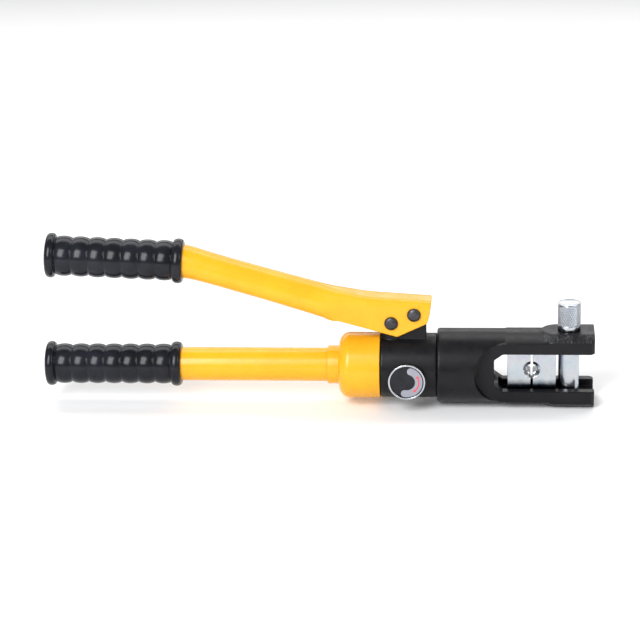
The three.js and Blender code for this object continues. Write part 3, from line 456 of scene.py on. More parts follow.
def knob_charcoal():
    g = Graph("knob_charcoal")
    tone = g.ramp(g.noise(140, 4), (0.35, (0.009, 0.0095, 0.013)), (0.65, (0.015, 0.016, 0.021)))
    rough = g.ramp(g.noise(500, 5, 0.65), (0.35, 0.32), (0.65, 0.48))
    return g.finish(tone, rough, g.bump(g.noise(1400, 2), 0.10, 0.05), Specular_IOR_Level=0.25)


def floor_material():
    g = Graph("studio_floor")
    tone = g.ramp(g.noise(3, 3), (0.3, (0.95, 0.95, 0.95)), (0.7, (0.97, 0.97, 0.97)))
    return g.finish(tone, 0.75, None, Specular_IOR_Level=0.15)


TURNED = (4.0, 0.3, 0.3)
FINISH = {
    "yellow_enamel": yellow_enamel(),
    "black_enamel": black_enamel(),
    "black_ground": ground_enamel(),
    "zinc_plate": zinc_plate("zinc_plate"),
    # the dies carry a painted shade and reflection of the lower arm at their foot
    "zinc_die": zinc_plate("zinc_plate_die", arm_shaded=True),
    "zinc_turned": zinc_plate("zinc_plate_turned", streak=(0.15, 0.15, 3.0), tint=0.25),
    # painted shade: a darker zinc for the hollows of the pin's knurl
    "zinc_groove_shade": metal("zinc_plate_groove_shade", (0.38, 0.40, 0.43), (0.50, 0.52, 0.55), (0.30, 0.44)),
    "ram_steel": metal("ram_steel", (0.42, 0.43, 0.45), (0.60, 0.61, 0.63), (0.14, 0.26), TURNED),
    "spring_steel": metal("spring_steel", (0.20, 0.20, 0.22), (0.34, 0.34, 0.36), (0.28, 0.42)),
    "dark_steel": metal("dark_steel", (0.045, 0.045, 0.05), (0.095, 0.095, 0.10), (0.34, 0.50), scale=500),
    "brass": metal("brass", (0.50, 0.33, 0.11), (0.68, 0.47, 0.18), (0.20, 0.34), TURNED),
    "seal_rubber": soft_plastic("seal_rubber", (0.012, 0.012, 0.012), (0.026, 0.026, 0.026), (0.55, 0.75)),
    "white_plastic": soft_plastic("white_plastic", (0.68, 0.68, 0.66), (0.80, 0.80, 0.78), (0.40, 0.55)),
    "label_grey": soft_plastic("label_grey", (0.26, 0.265, 0.31), (0.31, 0.315, 0.36), (0.36, 0.50), 0.06),
    "label_red": soft_plastic("label_red", (0.70, 0.035, 0.06), (0.80, 0.05, 0.075), (0.36, 0.48), 0.06),
    "grip_vinyl": grip_vinyl(),
    "knob_charcoal": knob_charcoal(),
}
REPLACED = set()


def piece(obj, name, body, finish, *nodes):
    """Names a new piece, paints it, ties it to its CAD body, and hides the CAD nodes it stands for and notes them
    as replaced.
    """
    obj.name = name
    obj.data.materials.clear()
    obj.data.materials.append(FINISH[finish])
    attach(obj, body)
    if nodes:
        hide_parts(*nodes)
        REPLACED.update(nodes)


def paint_faces(obj, finish, chosen):
    """A second finish on the faces that chosen(centre, normal) picks, in millimetres."""
    obj.data.materials.append(FINISH[finish])
    for polygon in obj.data.polygons:
        if chosen(polygon.center / MM, polygon.normal):
            polygon.material_index = 1


# ------------------------------------------------------------------ sizes that pieces share
# All in millimetres. A SPIGOT, BORE, HOLE, PISTON or ROD is a radius, and a HALF is half a width.
FORK_X, FORK_Y, FORK_Z = span("fork_head")
PIN_X, _, PIN_Z = span("retaining_pin")
PIVOT = joint_place("pump_handle")
KNOB_AXIS = joint_place("release_turn")
LINK_X, _, LINK_Z = (middle(extent) for extent in span("link_pin"))
PIN_CENTRE = middle(PIN_X)
FORK_RADIUS = FORK_Y[1]
BODY_RADIUS = span("pump_body")[1][1]
BOSS_TOP = FORK_Z[1]
THREAD_GAP = 0.3
PISTON, ROD = 19.0, 15.0
RAM_BORE, ROD_BORE = PISTON + THREAD_GAP, ROD + THREAD_GAP
SPIGOT, SPIGOT_LENGTH = 24.0, 11.5
CAP_SPIGOT = 25.8
TUBE_BORE = 15.3
LEVER_HALF = 13.5
PIVOT_HOLE, LINK_HOLE, STEM_HOLE = 4.9, 4.3, 4.3
OVER = 1.0


# ------------------------------------------------------------------ fork head
# FLAT is half the width over the flats and FLANK half their height; FLANK_REAR is where they begin.
FLAT = 21.0
FLANK, FLANK_REAR = 27.6, -17.0
BOSS_HALF, BOSS_SIDE = 13.6, 29.2
BOSS_NOSE = PIN_CENTRE - 24.0
REAR_CHAMFER, TIP_CHAMFER = 1.4, 3.0
GAP_HALF = 17.5
CORNER_X, CORNER_Z = 7.5, 5.4
GROOVE_HALF, GROOVE_DEPTH = 11.6, 7.0
PIN_HOLE, LOCK_HOLE = 9.75, 3.3
LOCK_PLACE = 6.0
RAM_CHAMBER_END = -20.0
ALL_THROUGH = 50.0


def fork_flank():
    """Side view of the flats: half round at the rear, then straight to the tip."""
    outline = arc(FLANK_REAR + FLANK, 0, FLANK, 90, 270, 96)
    return outline + [(FORK_X[1], -FLANK), (FORK_X[1], FLANK)]


def fork_boss():
    """Flat top and bottom, chamfered to the flanks, with a round nose."""
    x1 = FORK_X[1]
    far = x1 + BOSS_HALF
    slope = (FLAT - BOSS_HALF) / (BOSS_TOP - BOSS_SIDE)
    rings = []
    for z in (-BOSS_TOP, -BOSS_SIDE, BOSS_SIDE, BOSS_TOP):
        width = BOSS_HALF + (BOSS_TOP - abs(z)) * slope
        outline = arc(BOSS_NOSE + BOSS_HALF, 0, width, 90, 270, 48)
        outline += [(far, -width), (far, width)]
        rings.append([(x, y, z) for x, y in outline])
    keep = [(0, -ALL_THROUGH), (x1, -ALL_THROUGH), (x1, ALL_THROUGH), (0, ALL_THROUGH)]
    boss = loft("boss", rings)
    return combine("INTERSECT", boss, prism("keep", keep, "z", -ALL_THROUGH, ALL_THROUGH))


def fork_blank():
    """A round barrel, then flat-sided arms with a slightly crowned top, and the pin's boss."""
    x0, x1 = FORK_X
    barrel = lathe("fork", [(x0, 0), (x0, FORK_RADIUS - REAR_CHAMFER), (x0 + REAR_CHAMFER, FORK_RADIUS),
                            (BOSS_NOSE, FORK_RADIUS), (BOSS_NOSE, 0)], "x", sides=256)
    beyond = FORK_RADIUS + OVER
    cut(barrel, prism("near", fork_flank(), "y", -beyond, -FLAT),
        prism("far", fork_flank(), "y", FLAT, beyond))
    rise = FORK_RADIUS - FLANK
    crown_radius = (FLAT ** 2 + rise ** 2) / (2 * rise)
    spread = math.degrees(math.asin(FLAT / crown_radius))
    top = arc(0, FORK_RADIUS - crown_radius, crown_radius, 90 - spread, 90 + spread, 48)
    crown = prism("crown", top + [(-y, -z) for y, z in top], "x", FLANK_REAR + FLANK, x1)
    return join(barrel, prism("flank", fork_flank(), "y", -FLAT, FLAT), crown, fork_boss())


def fork_openings():
    """The window between the arms from the ram's face on, and the grooves that hold the dies."""
    far = FORK_X[1] + OVER
    beyond = FORK_RADIUS + OVER
    deep = GAP_HALF + GROOVE_DEPTH
    window = [(0, GAP_HALF - CORNER_Z), (0, CORNER_Z - GAP_HALF), (CORNER_X, -GAP_HALF),
              (far, -GAP_HALF), (far, GAP_HALF), (CORNER_X, GAP_HALF)]
    groove = [(CORNER_X / 2, GAP_HALF), (CORNER_X, deep), (far, deep), (far, -deep),
              (CORNER_X, -deep), (CORNER_X / 2, -GAP_HALF)]
    return [prism("window", window, "y", -beyond, beyond),
            prism("groove", groove, "y", -GROOVE_HALF, GROOVE_HALF)]


def fork_tip_chamfers():
    x1 = FORK_X[1]
    tools = []
    for side in (-1, 1):
        inset, outside = side * (FLAT - TIP_CHAMFER), side * (FLAT + OVER)
        tip = [(x1 - TIP_CHAMFER, side * FLAT), (x1, inset), (x1 + OVER, inset),
               (x1 + OVER, outside), (x1 - TIP_CHAMFER, outside)]
        tools.append(prism("tip", tip, "z", -ALL_THROUGH, ALL_THROUGH))
    return tools


def on_boss_slope(centre, normal):
    sloping = abs(normal.z) > 0.35 and abs(normal.y) > 0.35
    return centre.x > BOSS_NOSE + 1 and abs(centre.z) > BOSS_SIDE - 0.3 and sloping


def build_fork_head():
    x0 = FORK_X[0]
    head = fork_blank()
    cut(head, *fork_openings(), *fork_tip_chamfers(),
        rod(SPIGOT + THREAD_GAP, x0 - OVER, x0 + SPIGOT_LENGTH + THREAD_GAP, "x"),
        rod(RAM_BORE, x0, RAM_CHAMBER_END, "x"),
        rod(ROD_BORE, RAM_CHAMBER_END - OVER, CORNER_X + OVER, "x"),
        rod(PIN_HOLE, -ALL_THROUGH, ALL_THROUGH, "z", (PIN_CENTRE, 0, 0)),
        rod(LOCK_HOLE, -FORK_RADIUS - OVER, -SPIGOT, "z", (x0 + LOCK_PLACE, 0, 0), 48))
    soften(head)
    piece(head, "fork_head_forged", "tool_body", "black_enamel", "fork_head")
    paint_faces(head, "black_ground", on_boss_slope)


# ------------------------------------------------------------------ pump body
# The lug is round about the lever's pivot; ROOT and SHOULDER are heights above the ram's axis.
LUG_HALF, LUG_RADIUS = 8.2, 7.6
LUG_FRONT = 10.6
LUG_ROOT, LUG_SHOULDER = 14.0, 38.1
GLAND_RADIUS, GLAND_TOP = 10.0, 33.0
NUT_HOLE, NUT_FLOOR = 7.7, 25.0
PLUNGER_BORE, PLUNGER_FLOOR = 5.3, 2.0
RAM_CHAMBER_START = -70.0
STEM_FLOOR = -6.0


def body_shell():
    """A turned body with a spigot at each end."""
    cap_front = span("end_cap")[0][1]
    fork_rear = FORK_X[0]
    rear = cap_front + THREAD_GAP
    front = fork_rear - THREAD_GAP
    spigot_end = fork_rear + SPIGOT_LENGTH
    profile = [(cap_front - 5, 0), (cap_front - 5, CAP_SPIGOT), (rear, CAP_SPIGOT),
               (rear, BODY_RADIUS - 0.8), (rear + 0.8, BODY_RADIUS), (front, BODY_RADIUS),
               (front, SPIGOT), (spigot_end, SPIGOT), (spigot_end, 0)]
    return lathe("pump", rounded(profile, 0.3), "x", sides=256)


def body_lug():
    """The lug that carries the lever, with a round top and a rear foot that slopes out."""
    front, rear = PIVOT.x + LUG_FRONT, PIVOT.x - LUG_RADIUS
    outline = [(front, LUG_ROOT), (front, PIVOT.z - LUG_RADIUS)]
    outline += arc(PIVOT.x, PIVOT.z, LUG_RADIUS, 0, 180, 40)
    outline += [(rear, LUG_SHOULDER), (rear - 5.6, BODY_RADIUS), (rear, LUG_ROOT)]
    return prism("lug", outline, "y", -LUG_HALF, LUG_HALF)


def build_pump_body():
    body = join(body_shell(), body_lug(), rod(GLAND_RADIUS, LUG_ROOT, GLAND_TOP, "z", (LINK_X, 0, 0)))
    cut(body, rod(PIVOT_HOLE, -LUG_HALF - OVER, LUG_HALF + OVER, "y", (PIVOT.x, 0, PIVOT.z), 64),
        rod(NUT_HOLE, NUT_FLOOR, GLAND_TOP + OVER, "z", (LINK_X, 0, 0)),
        rod(PLUNGER_BORE, PLUNGER_FLOOR, NUT_FLOOR + OVER, "z", (LINK_X, 0, 0), 64),
        rod(RAM_BORE, RAM_CHAMBER_START, FORK_X[0] + SPIGOT_LENGTH + OVER, "x"),
        rod(STEM_HOLE, -BODY_RADIUS - OVER, STEM_FLOOR, "y", (KNOB_AXIS.x, 0, KNOB_AXIS.z), 64))
    soften(body)
    piece(body, "pump_body_cast", "tool_body", "black_enamel", "pump_body")


# ------------------------------------------------------------------ end cap and handle tube
CAP_CORNER = 10.0
COLLAR, COLLAR_LENGTH = 17.1, 10.2
CAP_WALL, THREAD_LENGTH = 5.0, 7.6
OIL_CHAMBER = 22.0
TUBE_WALL = 2.5


def build_end_cap():
    """A collar round the handle tube, a small cove, then a full corner up to the cap's side."""
    (x0, x1), (_, radius), _ = span("end_cap")
    shoulder = x0 + COLLAR_LENGTH
    floor = shoulder + CAP_WALL
    bore, seat = CAP_SPIGOT + THREAD_GAP, x1 - THREAD_LENGTH
    outer = [(x0, TUBE_BORE), (x0, COLLAR - 0.5), (x0 + 0.5, COLLAR), (shoulder - 1.2, COLLAR),
             (shoulder - 0.5, COLLAR + 0.2), (shoulder - 0.1, COLLAR + 0.7), (shoulder, COLLAR + 1.4)]
    outer += arc(shoulder + CAP_CORNER, radius - CAP_CORNER, CAP_CORNER, 180, 90, 20)
    outer += [(x1 - 0.5, radius), (x1 - 0.15, radius - 0.15), (x1, radius - 0.5)]
    inner = [(x1, bore), (seat, bore), (seat, OIL_CHAMBER), (floor, OIL_CHAMBER), (floor, TUBE_BORE)]
    cap = shade(lathe("cap", outer + inner, "x", sides=192))
    piece(cap, "end_cap_turned", "tool_body", "yellow_enamel", "end_cap")


def build_fixed_tube():
    (x0, x1), (_, radius), _ = span("fixed_handle_tube")
    bore = radius - TUBE_WALL
    profile = rounded([(x0, bore), (x0, radius), (x1, radius), (x1, bore)], 0.4, closed=True)
    tube = shade(lathe("tube", profile, "x", sides=128))
    piece(tube, "fixed_handle_tube_drawn", "tool_body", "yellow_enamel", "fixed_handle_tube")


# ------------------------------------------------------------------ grips
GRIP_X = span("fixed_handle_grip")[0]
GRIP_LENGTH = GRIP_X[1] - GRIP_X[0]
GRIP_SLOPE = math.radians(2.6)
# Radii of the end beads, of the valleys between ribs and of the ribs' crests.
FLANGE, VALLEY, RIB = 20.0, 16.1, 18.0
FLANGE_WIDTH = 9.3
RIBS = 7
FULLNESS = 0.72
ROLL_STEPS = 22
END_WALL = 5.0


def flange_roll(start, width):
    """The rolled bead at one end of the grip, fuller than a half circle."""
    points = []
    for k in range(1, ROLL_STEPS):
        angle = math.pi * k / ROLL_STEPS
        along = start + width * (1 - math.cos(angle)) / 2
        points.append((along, VALLEY + (FLANGE - VALLEY) * math.sin(angle) ** FULLNESS))
    return points


def grip_rib(start, width):
    """The bottom of a valley, then one barrel-shaped rib."""
    points = [(start, VALLEY)]
    for k in range(1, ROLL_STEPS):
        t = k / ROLL_STEPS
        points.append((start + width * t, VALLEY + (RIB - VALLEY) * (4 * t * (1 - t)) ** FULLNESS))
    return points


def grip_profile():
    """From the closed end: a shallow dome, a bead, the ribs, a bead, and the mouth."""
    end_radius = 16.2
    last_bead = GRIP_LENGTH - FLANGE_WIDTH
    pitch = (last_bead - FLANGE_WIDTH) / RIBS
    outer = [(0.0, 0.0), (0.05, 6), (0.2, 11), (0.5, 14.3), (1.0, end_radius)]
    outer += flange_roll(1.2, FLANGE_WIDTH - 1.2)
    for i in range(RIBS):
        outer += grip_rib(FLANGE_WIDTH + pitch * i, pitch)
    outer.append((last_bead, VALLEY))
    outer += flange_roll(last_bead, FLANGE_WIDTH)
    mouth = [(GRIP_LENGTH, end_radius), (GRIP_LENGTH - 0.1, TUBE_BORE + 0.2),
             (GRIP_LENGTH - 0.6, TUBE_BORE)]
    return outer + mouth + [(END_WALL, TUBE_BORE), (END_WALL, 0.0)]


def build_grips():
    fixed = lathe("grip", grip_profile(), "x", (GRIP_X[0], 0, 0), 144)
    fixed.data.shade_smooth()
    piece(fixed, "fixed_grip_dipped", "tool_body", "grip_vinyl", "fixed_handle_grip")
    moving = lathe("grip", grip_profile(), "x", (0, 0, 0), 144)
    place_x, _, place_z = (middle(extent) for extent in span("lever_grip"))
    turn = Matrix.Rotation(GRIP_SLOPE, 4, "Y")
    shift = Vector((place_x, 0, place_z)) - turn @ Vector((GRIP_LENGTH / 2, 0, 0))
    moving.data.transform(Matrix.Translation(shift * MM) @ turn)
    moving.data.shade_smooth()
    piece(moving, "lever_grip_dipped", "lever", "grip_vinyl", "lever_grip")


# ------------------------------------------------------------------ moving lever
# A section is (x, top, mid, half width, depth below mid, squareness), measured from the pivot.
# SLOPE is the tube's fall after the bend, whose corner would be at KNEE_X, KNEE_Z.
TUBE = 15.0
OVAL = 14.3
PLATE_WALL = 3.0
SLOPE = math.radians(16.7)
KNEE_X, KNEE_Z = -201.0, 45.0
BEND_RADIUS = 50.0
ROUND_AGAIN = -98.0
CHANNEL = [
    (-82, 24.5, 9.3, 14.8, 15.1, 2.2), (-73, 21.8, 7.2, 14.3, 17, 2.7), (-65, 19.8, 5, 13.8, 24, 3.4),
    (-56, 17.8, 3.2, LEVER_HALF, 34, 4.4), (-40, 15, 1.4, LEVER_HALF, 40, 5.0),
    (-11, 12.9, -0.8, LEVER_HALF, 40, 5.0), (22, 10.5, -3, LEVER_HALF, 40, 5.0),
]
PLATE_EDGE = [
    (-100, -7), (-80, -7), (-66.5, -6.4), (-17.5, -20.3), (-15.7, -20.9), (-13.8, -20.5),
    (9.8, -9.4), (11.6, -8.2), (12.5, -5.9), (13.9, -0.5), (15.8, 12.6), (16.1, 60),
]


def lever_sections():
    """A round tube through the bend, slightly flattened after it, then the formed channel."""
    def tube_at(x, centre, height):
        return (x, centre + height, centre, TUBE, height, 2.0)

    def line(x, slope):
        return KNEE_Z - (x - KNEE_X) * math.tan(slope)

    upright = TUBE / math.cos(GRIP_SLOPE)
    tangent = BEND_RADIUS * math.tan((SLOPE - GRIP_SLOPE) / 2)
    before, after = KNEE_X - tangent, KNEE_X + tangent
    lever_end = span("lever")[0][0] - PIVOT.x
    sections = [tube_at(lever_end, line(lever_end, GRIP_SLOPE), upright)]
    start, knee, end = (Vector((before, line(before, GRIP_SLOPE))), Vector((KNEE_X, KNEE_Z)),
                        Vector((after, line(after, SLOPE))))
    for k in range(9):
        t = k / 8
        p = start * (1 - t) ** 2 + knee * 2 * t * (1 - t) + end * t ** 2
        sections.append(tube_at(p.x, p.y, upright + (OVAL - upright) * max(0.0, t - 0.5) / 1.6))
    flattened = after + 16
    for x, height in ((flattened, OVAL), ((flattened + ROUND_AGAIN) / 2, OVAL), (ROUND_AGAIN, TUBE)):
        sections.append(tube_at(x, line(x, SLOPE), height))
    return sections + CHANNEL


def gentle_tangents(xs, values):
    """Slopes for a cubic that never overshoots its values."""
    secants = [(values[i + 1] - values[i]) / (xs[i + 1] - xs[i]) for i in range(len(xs) - 1)]
    tangents = [secants[0]]
    for a, b in zip(secants, secants[1:]):
        tangents.append(0.0 if a * b <= 0 else 2 * a * b / (a + b))
    return tangents + [secants[-1]]


def smooth_sections(sections, step=3.0):
    """The sections joined by a gentle cubic and repeated at close spacing."""
    xs = [section[0] for section in sections]
    channels = list(zip(*sections))[1:]
    tangents = [gentle_tangents(xs, values) for values in channels]
    result = []
    for i in range(len(xs) - 1):
        width = xs[i + 1] - xs[i]
        count = max(1, round(width / step))
        for k in range(count + (i == len(xs) - 2)):
            t = k / count
            row = [xs[i] + t * width]
            for values, slopes in zip(channels, tangents):
                row.append((2 * t ** 3 - 3 * t ** 2 + 1) * values[i]
                           + (t ** 3 - 2 * t ** 2 + t) * width * slopes[i]
                           + (3 * t ** 2 - 2 * t ** 3) * values[i + 1]
                           + (t ** 3 - t ** 2) * width * slopes[i + 1])
            result.append(tuple(row))
    return result


def lever_skin(sections, tube_wall, plate_wall, deepen):
    """Rounded-square rings, smaller by a wall all round; the channel's foot goes deeper by deepen."""
    rings = []
    count = 128
    for x, top, mid, width, down, power in sections:
        wall = tube_wall if power <= 2.0 else plate_wall
        depth = down + (deepen if power > 2.5 else 0)
        ring = []
        for i in range(count):
            angle = 2 * math.pi * (i + 0.5) / count
            c, s = math.cos(angle), math.sin(angle)
            squareness = power if s >= 0 else max(1.5 * power - 1, 2)
            height = (top - mid if s >= 0 else depth) - wall
            y = (width - wall) * math.copysign(abs(c) ** (2 / squareness), c)
            z = mid + height * math.copysign(abs(s) ** (2 / squareness), s)
            ring.append((PIVOT.x + x, y, PIVOT.z + z))
        rings.append(ring)
    return loft("lever", rings)


def build_lever():
    sections = smooth_sections(lever_sections())
    first, last = sections[0], sections[-1]
    longer = [(first[0] - 1, *first[1:]), *sections, (last[0] + 2, *last[1:])]
    waste = [(-100, -60), *PLATE_EDGE, (60, 60), (60, -60)]
    waste = [(PIVOT.x + x, PIVOT.z + z) for x, z in waste]
    lever = lever_skin(sections, 0, 0, 0)
    cut(lever, lever_skin(longer, TUBE_WALL, PLATE_WALL, 12), prism("waste", waste, "y", -40, 40),
        rod(PIVOT_HOLE, -20, 20, "y", (PIVOT.x, 0, PIVOT.z), 64),
        rod(LINK_HOLE, -20, 20, "y", (LINK_X, 0, LINK_Z), 64))
    soften(lever)
    piece(lever, "lever_formed", "lever", "yellow_enamel", "lever")


def build_rivet(node, name, radius):
    """A pin with a domed head on the knob's side and a groove for its clip at the other end."""
    along_x, (y0, y1), along_z = span(node)
    head = half(along_x)
    seat = -LEVER_HALF - 0.3
    groove = LEVER_HALF + 0.7
    profile = [(y0, 0)]
    for k in range(1, 13):
        angle = math.radians(7.5 * k)
        lift = 0.8 * (seat - y0) * (1 - math.cos(angle))
        profile.append((y0 + lift, head * math.sin(angle) ** 0.9))
    profile += [(seat, head), (seat, radius), (groove, radius), (groove, radius - 0.7),
                (groove + 1.2, radius - 0.7), (groove + 1.2, radius), (y1 - 0.5, radius),
                (y1, radius - 0.5), (y1, 0)]
    rivet = shade(lathe("rivet", profile, "y", (middle(along_x), 0, middle(along_z)), 72))
    piece(rivet, name, "lever", "dark_steel", node)


# ------------------------------------------------------------------ dies
DIE_CHAMFER = 0.8
HEXAGON_HALF = 4.15
SINK = 7.7


def build_die(node, name):
    """A block with half of the hexagon and of its countersinks; its body has the node's name."""
    (x0, x1), (y0, y1), (z0, z1) = span(node)
    c = DIE_CHAMFER
    outline = [(x0, z0 + c), (x0 + c, z0), (x1 - c, z0), (x1, z0 + c),
               (x1, z1 - c), (x1 - c, z1), (x0 + c, z1), (x0, z1 - c)]
    meeting = middle((span("moving_die")[0][1], span("anvil_die")[0][0]))
    corner = HEXAGON_HALF / math.cos(math.pi / 6)
    hexagon = [(meeting + u, v) for u, v in (polar(corner, degrees) for degrees in range(30, 390, 60))]
    die = cut(prism("die", outline, "y", y0, y1), prism("hexagon", hexagon, "y", y0 - OVER, y1 + OVER))
    for side, face in ((-1, y0), (1, y1)):
        floor = face - side * (SINK - corner)
        mouth = face + side * OVER
        cone = [(floor, 0), (floor, corner), (mouth, SINK + OVER), (mouth, 0)]
        cut(die, lathe("sink", cone, "y", (meeting, 0, 0), 96))
    soften(die, 0.3, 3)
    piece(die, name, node, "zinc_die", node)


# ------------------------------------------------------------------ retaining pin
SHANK, NECK = 9.4, 8.6
PIN_HEAD = half(PIN_X)
KNURL_TEETH = 34
KNURL_TWIST = 1.6 / 0.95
KNURL_MARGIN = 0.5
DETENT_HOLE, DETENT_HEIGHT = 2.55, 9.0


def build_pin():
    """Shank, neck above the upper arm, plain ring, knurled head and a domed top."""
    bottom, top = PIN_Z
    neck_top = BOSS_TOP + 2.2
    ring_top = neck_top + 3
    start, end = ring_top + 0.3, top - 2.6
    crest = PIN_HEAD - 0.02
    lower = rounded([(bottom, 0), (bottom, SHANK - 1.5), (bottom + 1.5, SHANK), (BOSS_TOP - 3, SHANK),
                     (BOSS_TOP - 2, NECK), (neck_top, NECK), (neck_top, PIN_HEAD), (ring_top, PIN_HEAD),
                     (start, PIN_HEAD - 0.45)], 0.35)
    steps = 110
    knurl = [(start + (end - start) * k / steps, crest) for k in range(1, steps)]
    shoulder, edge = end + 0.8, PIN_HEAD - 0.15
    crown = [(end, PIN_HEAD - 0.45), (end + 0.3, PIN_HEAD - 0.1), (shoulder, edge)]
    for k in range(1, 9):
        angle = math.radians(90 * k / 8)
        crown.append((shoulder + 1.4 * math.sin(angle), edge - 3.2 * (1 - math.cos(angle))))
    crown += [(top - 0.18, 4.5), (top - 0.04, 2.0), (top, 0)]

    def knurled(along, radius, angle):
        """Two sets of slanting grooves that cross, the right-hand ones deeper."""
        if not start < along < end or abs(radius - crest) > 1e-6:
            return radius
        fade = min(1.0, (along - start) / 0.8, (end - along) / 0.8)
        twist = along * KNURL_TWIST
        right = abs(math.sin((KNURL_TEETH * angle - twist) / 2))
        left = abs(math.sin((KNURL_TEETH * angle + twist) / 2))
        return radius - fade * (0.80 * (1 - right) ** 1.3 + 0.45 * (1 - left) ** 1.8)

    def in_groove(centre, _normal):
        radius = math.hypot(centre.x - PIN_CENTRE, centre.y)
        return start + KNURL_MARGIN < centre.z < end - KNURL_MARGIN and radius < PIN_HEAD - 0.40

    sides = 528
    pin = lathe("pin", lower + knurl + crown, "z", (PIN_CENTRE, 0, 0), sides, knurled)
    cut(pin, rod(DETENT_HOLE, -11, 0.2, "x", (PIN_CENTRE, 0, bottom + DETENT_HEIGHT), 48))
    piece(shade(pin), "retaining_pin_knurled", "retaining_pin", "zinc_turned", "retaining_pin")
    # painted shade: the faces deep in the knurl's grooves get the darker zinc
    paint_faces(pin, "zinc_groove_shade", in_groove)


# ------------------------------------------------------------------ ram
def build_ram():
    """Piston with a seal groove between two lands, and a rod with a chamfered face."""
    x0, x1 = span("ram_piston")[0]
    groove, groove_start, groove_end, land_end = 16.0, x0 + 3.5, x0 + 9.5, x0 + 12
    profile = rounded([(x0, 0), (x0, PISTON), (groove_start, PISTON), (groove_start, groove),
                       (groove_end, groove), (groove_end, PISTON), (land_end, PISTON), (land_end, ROD),
                       (x1 - 1, ROD), (x1, ROD - 1), (x1, 0)], 0.25)
    piece(shade(lathe("ram", profile, "x", sides=128)), "ram_ground", "ram", "ram_steel", "ram_piston")


# ------------------------------------------------------------------ release knob
KNOB_X, KNOB_Y, KNOB_Z = span("release_knob")
KNOB_CENTRE = (middle(KNOB_X), 0, middle(KNOB_Z))
RIM_X, RIM_Y, _ = span("knob_rim")
RIM_RADIUS = half(RIM_X)
RIM_INNER = RIM_RADIUS - 1.6
LABEL_OUTER, LABEL_INNER = 14.0, 7.4
LABEL_MID = (LABEL_OUTER + LABEL_INNER) / 2
LABEL_FACE, LABEL_BACK = span("knob_label")[1]


def build_knob_disc():
    face, back = KNOB_Y
    socket = back - 3
    profile = rounded([(face, 0), (face, RIM_INNER - 0.4), (face + 1.2, RIM_INNER - 0.3),
                       (face + 1.2, RIM_RADIUS - 0.3), (back, RIM_RADIUS - 1), (back, STEM_HOLE),
                       (socket, STEM_HOLE), (socket, 0)], 0.25)
    disc = shade(lathe("disc", profile, "y", KNOB_CENTRE, 144))
    piece(disc, "knob_disc", "release_knob", "knob_charcoal", "release_knob")


def build_knob_rim():
    face, back = RIM_Y
    profile = rounded([(face, RIM_INNER), (face, RIM_RADIUS), (back, RIM_RADIUS), (back, RIM_INNER)],
                      0.5, closed=True)
    rim = shade(lathe("rim", profile, "y", KNOB_CENTRE, 144))
    piece(rim, "knob_rim_turned", "release_knob", "zinc_turned", "knob_rim")


def on_knob(outline):
    return [(KNOB_CENTRE[0] + u, KNOB_CENTRE[2] + v) for u, v in outline]


def build_knob_label():
    """A crescent with round ends."""
    low, high = -100, 70
    width = (LABEL_OUTER - LABEL_INNER) / 2
    outline = arc(0, 0, LABEL_OUTER, low, high, 60)
    outline += arc(*polar(LABEL_MID, high), width, high, high + 180, 18)[1:-1]
    outline += arc(0, 0, LABEL_INNER, high, low, 60)
    outline += arc(*polar(LABEL_MID, low), width, low - 180, low, 18)[1:-1]
    crescent = prism("label", on_knob(outline), "y", LABEL_FACE + 0.12, LABEL_BACK)
    piece(crescent, "knob_label_plate", "release_knob", "label_grey", "knob_label")


def build_knob_arrow():
    """A plain arrow with a point at each end, printed on the label."""
    line, barb = 0.5, 1.75
    low, high = -58, 34
    neck, sweep = 11, 13
    outline = arc(0, 0, LABEL_MID + line, low + neck, high - neck, 30)
    outline += [polar(LABEL_MID + barb, high - sweep), polar(LABEL_MID, high),
                polar(LABEL_MID - barb, high - sweep)]
    outline += arc(0, 0, LABEL_MID - line, high - neck, low + neck, 30)
    outline += [polar(LABEL_MID - barb, low + sweep), polar(LABEL_MID, low),
                polar(LABEL_MID + barb, low + sweep)]
    arrow = prism("arrow", on_knob(outline), "y", LABEL_FACE, LABEL_FACE + 0.2)
    piece(arrow, "knob_arrow", "release_knob", "label_red")


# ------------------------------------------------------------------ carried-over CAD nodes
def paint_carried_nodes():
    """A CAD node that no piece stands for keeps its shape and gets its slot's finish."""
    for part in frame["record"]["subparts"]:
        if part["node"] not in REPLACED:
            materials = frame["nodes"][part["node"]].data.materials
            materials.clear()
            materials.append(FINISH[part["material_slot"]])


# ------------------------------------------------------------------ stage, light and camera
def build_stage():
    height = CAD_BOX[0][2] / MM
    reach = 6000
    corners = [(-reach, -reach, height), (reach, -reach, height), (reach, reach, height),
               (-reach, reach, height)]
    floor = new_object("studio_floor", corners, [[0, 1, 2, 3]])
    floor.data.materials.append(floor_material())


def area_light(name, place, aim, size, power, colour=(1, 1, 1)):
    data = bpy.data.lights.new(name, "AREA")
    data.shape = "RECTANGLE"
    data.size, data.size_y = size
    data.energy = power
    data.color = colour
    lamp = bpy.data.objects.new(name, data)
    lamp.location = place
    lamp.rotation_euler = (Vector(aim) - Vector(place)).to_track_quat("-Z", "Y").to_euler()
    bpy.context.scene.collection.objects.link(lamp)


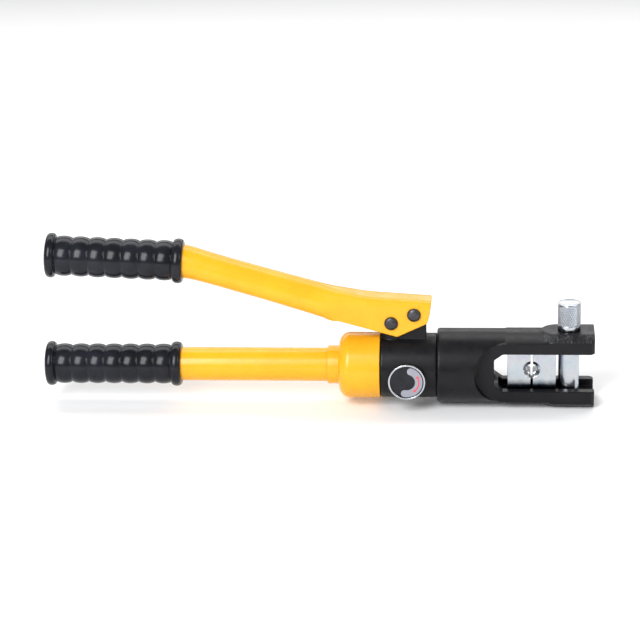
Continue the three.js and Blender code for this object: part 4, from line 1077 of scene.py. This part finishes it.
def build_light():
    """A pale room with a long softbox overhead, a window in front and two weaker fills; in metres."""
    world = bpy.data.worlds.new("studio")
    world.use_nodes = True
    backdrop = world.node_tree.nodes["Background"]
    backdrop.inputs["Color"].default_value = (1.0, 1.0, 1.0, 1.0)
    backdrop.inputs["Strength"].default_value = 0.33
    bpy.context.scene.world = world
    area_light("overhead", (-0.15, 0.75, 1.35), (-0.15, 0, 0), (2.6, 0.7), 17)
    area_light("backdrop_glow", (-0.15, 1.6, 0.75), (-0.15, 0, 0), (2.8, 0.5), 9)
    area_light("window_left", (-0.72, -1.25, 0.95), (-0.2, 0, 0), (0.75, 1.15), 29, (0.97, 0.98, 1.0))
    area_light("fill_right", (1.1, -0.9, 0.9), (-0.1, 0, 0), (0.3, 0.7), 5)


def build_camera():
    """From the knob's side, a little to the right and above."""
    azimuth, elevation, roll = math.radians(4.1), math.radians(20.0), math.radians(-1.199)
    distance = 2250 * MM
    aim = Vector((-154.7, 0, 42.2)) * MM
    back = Vector((math.sin(azimuth) * math.cos(elevation), -math.cos(azimuth) * math.cos(elevation),
                   math.sin(elevation)))
    right = Vector((math.cos(azimuth), math.sin(azimuth), 0))
    up = back.cross(right)
    turned_right = right * math.cos(roll) + up * math.sin(roll)
    turned_up = up * math.cos(roll) - right * math.sin(roll)
    data = bpy.data.cameras.new("camera")
    data.sensor_width = 36
    data.lens = 142.19
    data.clip_end = 50
    camera = bpy.data.objects.new("camera", data)
    rotation = Matrix((turned_right, turned_up, back)).transposed().to_4x4()
    camera.matrix_world = Matrix.Translation(aim + back * distance) @ rotation
    bpy.context.scene.collection.objects.link(camera)
    bpy.context.scene.camera = camera


build_fork_head()
build_pump_body()
build_end_cap()
build_fixed_tube()
build_grips()
build_lever()
build_rivet("pivot_pin", "pivot_rivet", 4.6)
build_rivet("link_pin", "link_rivet", 4.0)
build_die("moving_die", "moving_die_plated")
build_die("anvil_die", "anvil_die_plated")
build_pin()
build_ram()
build_knob_disc()
build_knob_rim()
build_knob_label()
build_knob_arrow()
paint_carried_nodes()
build_stage()
build_light()
build_camera()
bpy.context.scene.view_settings.view_transform = "Standard"
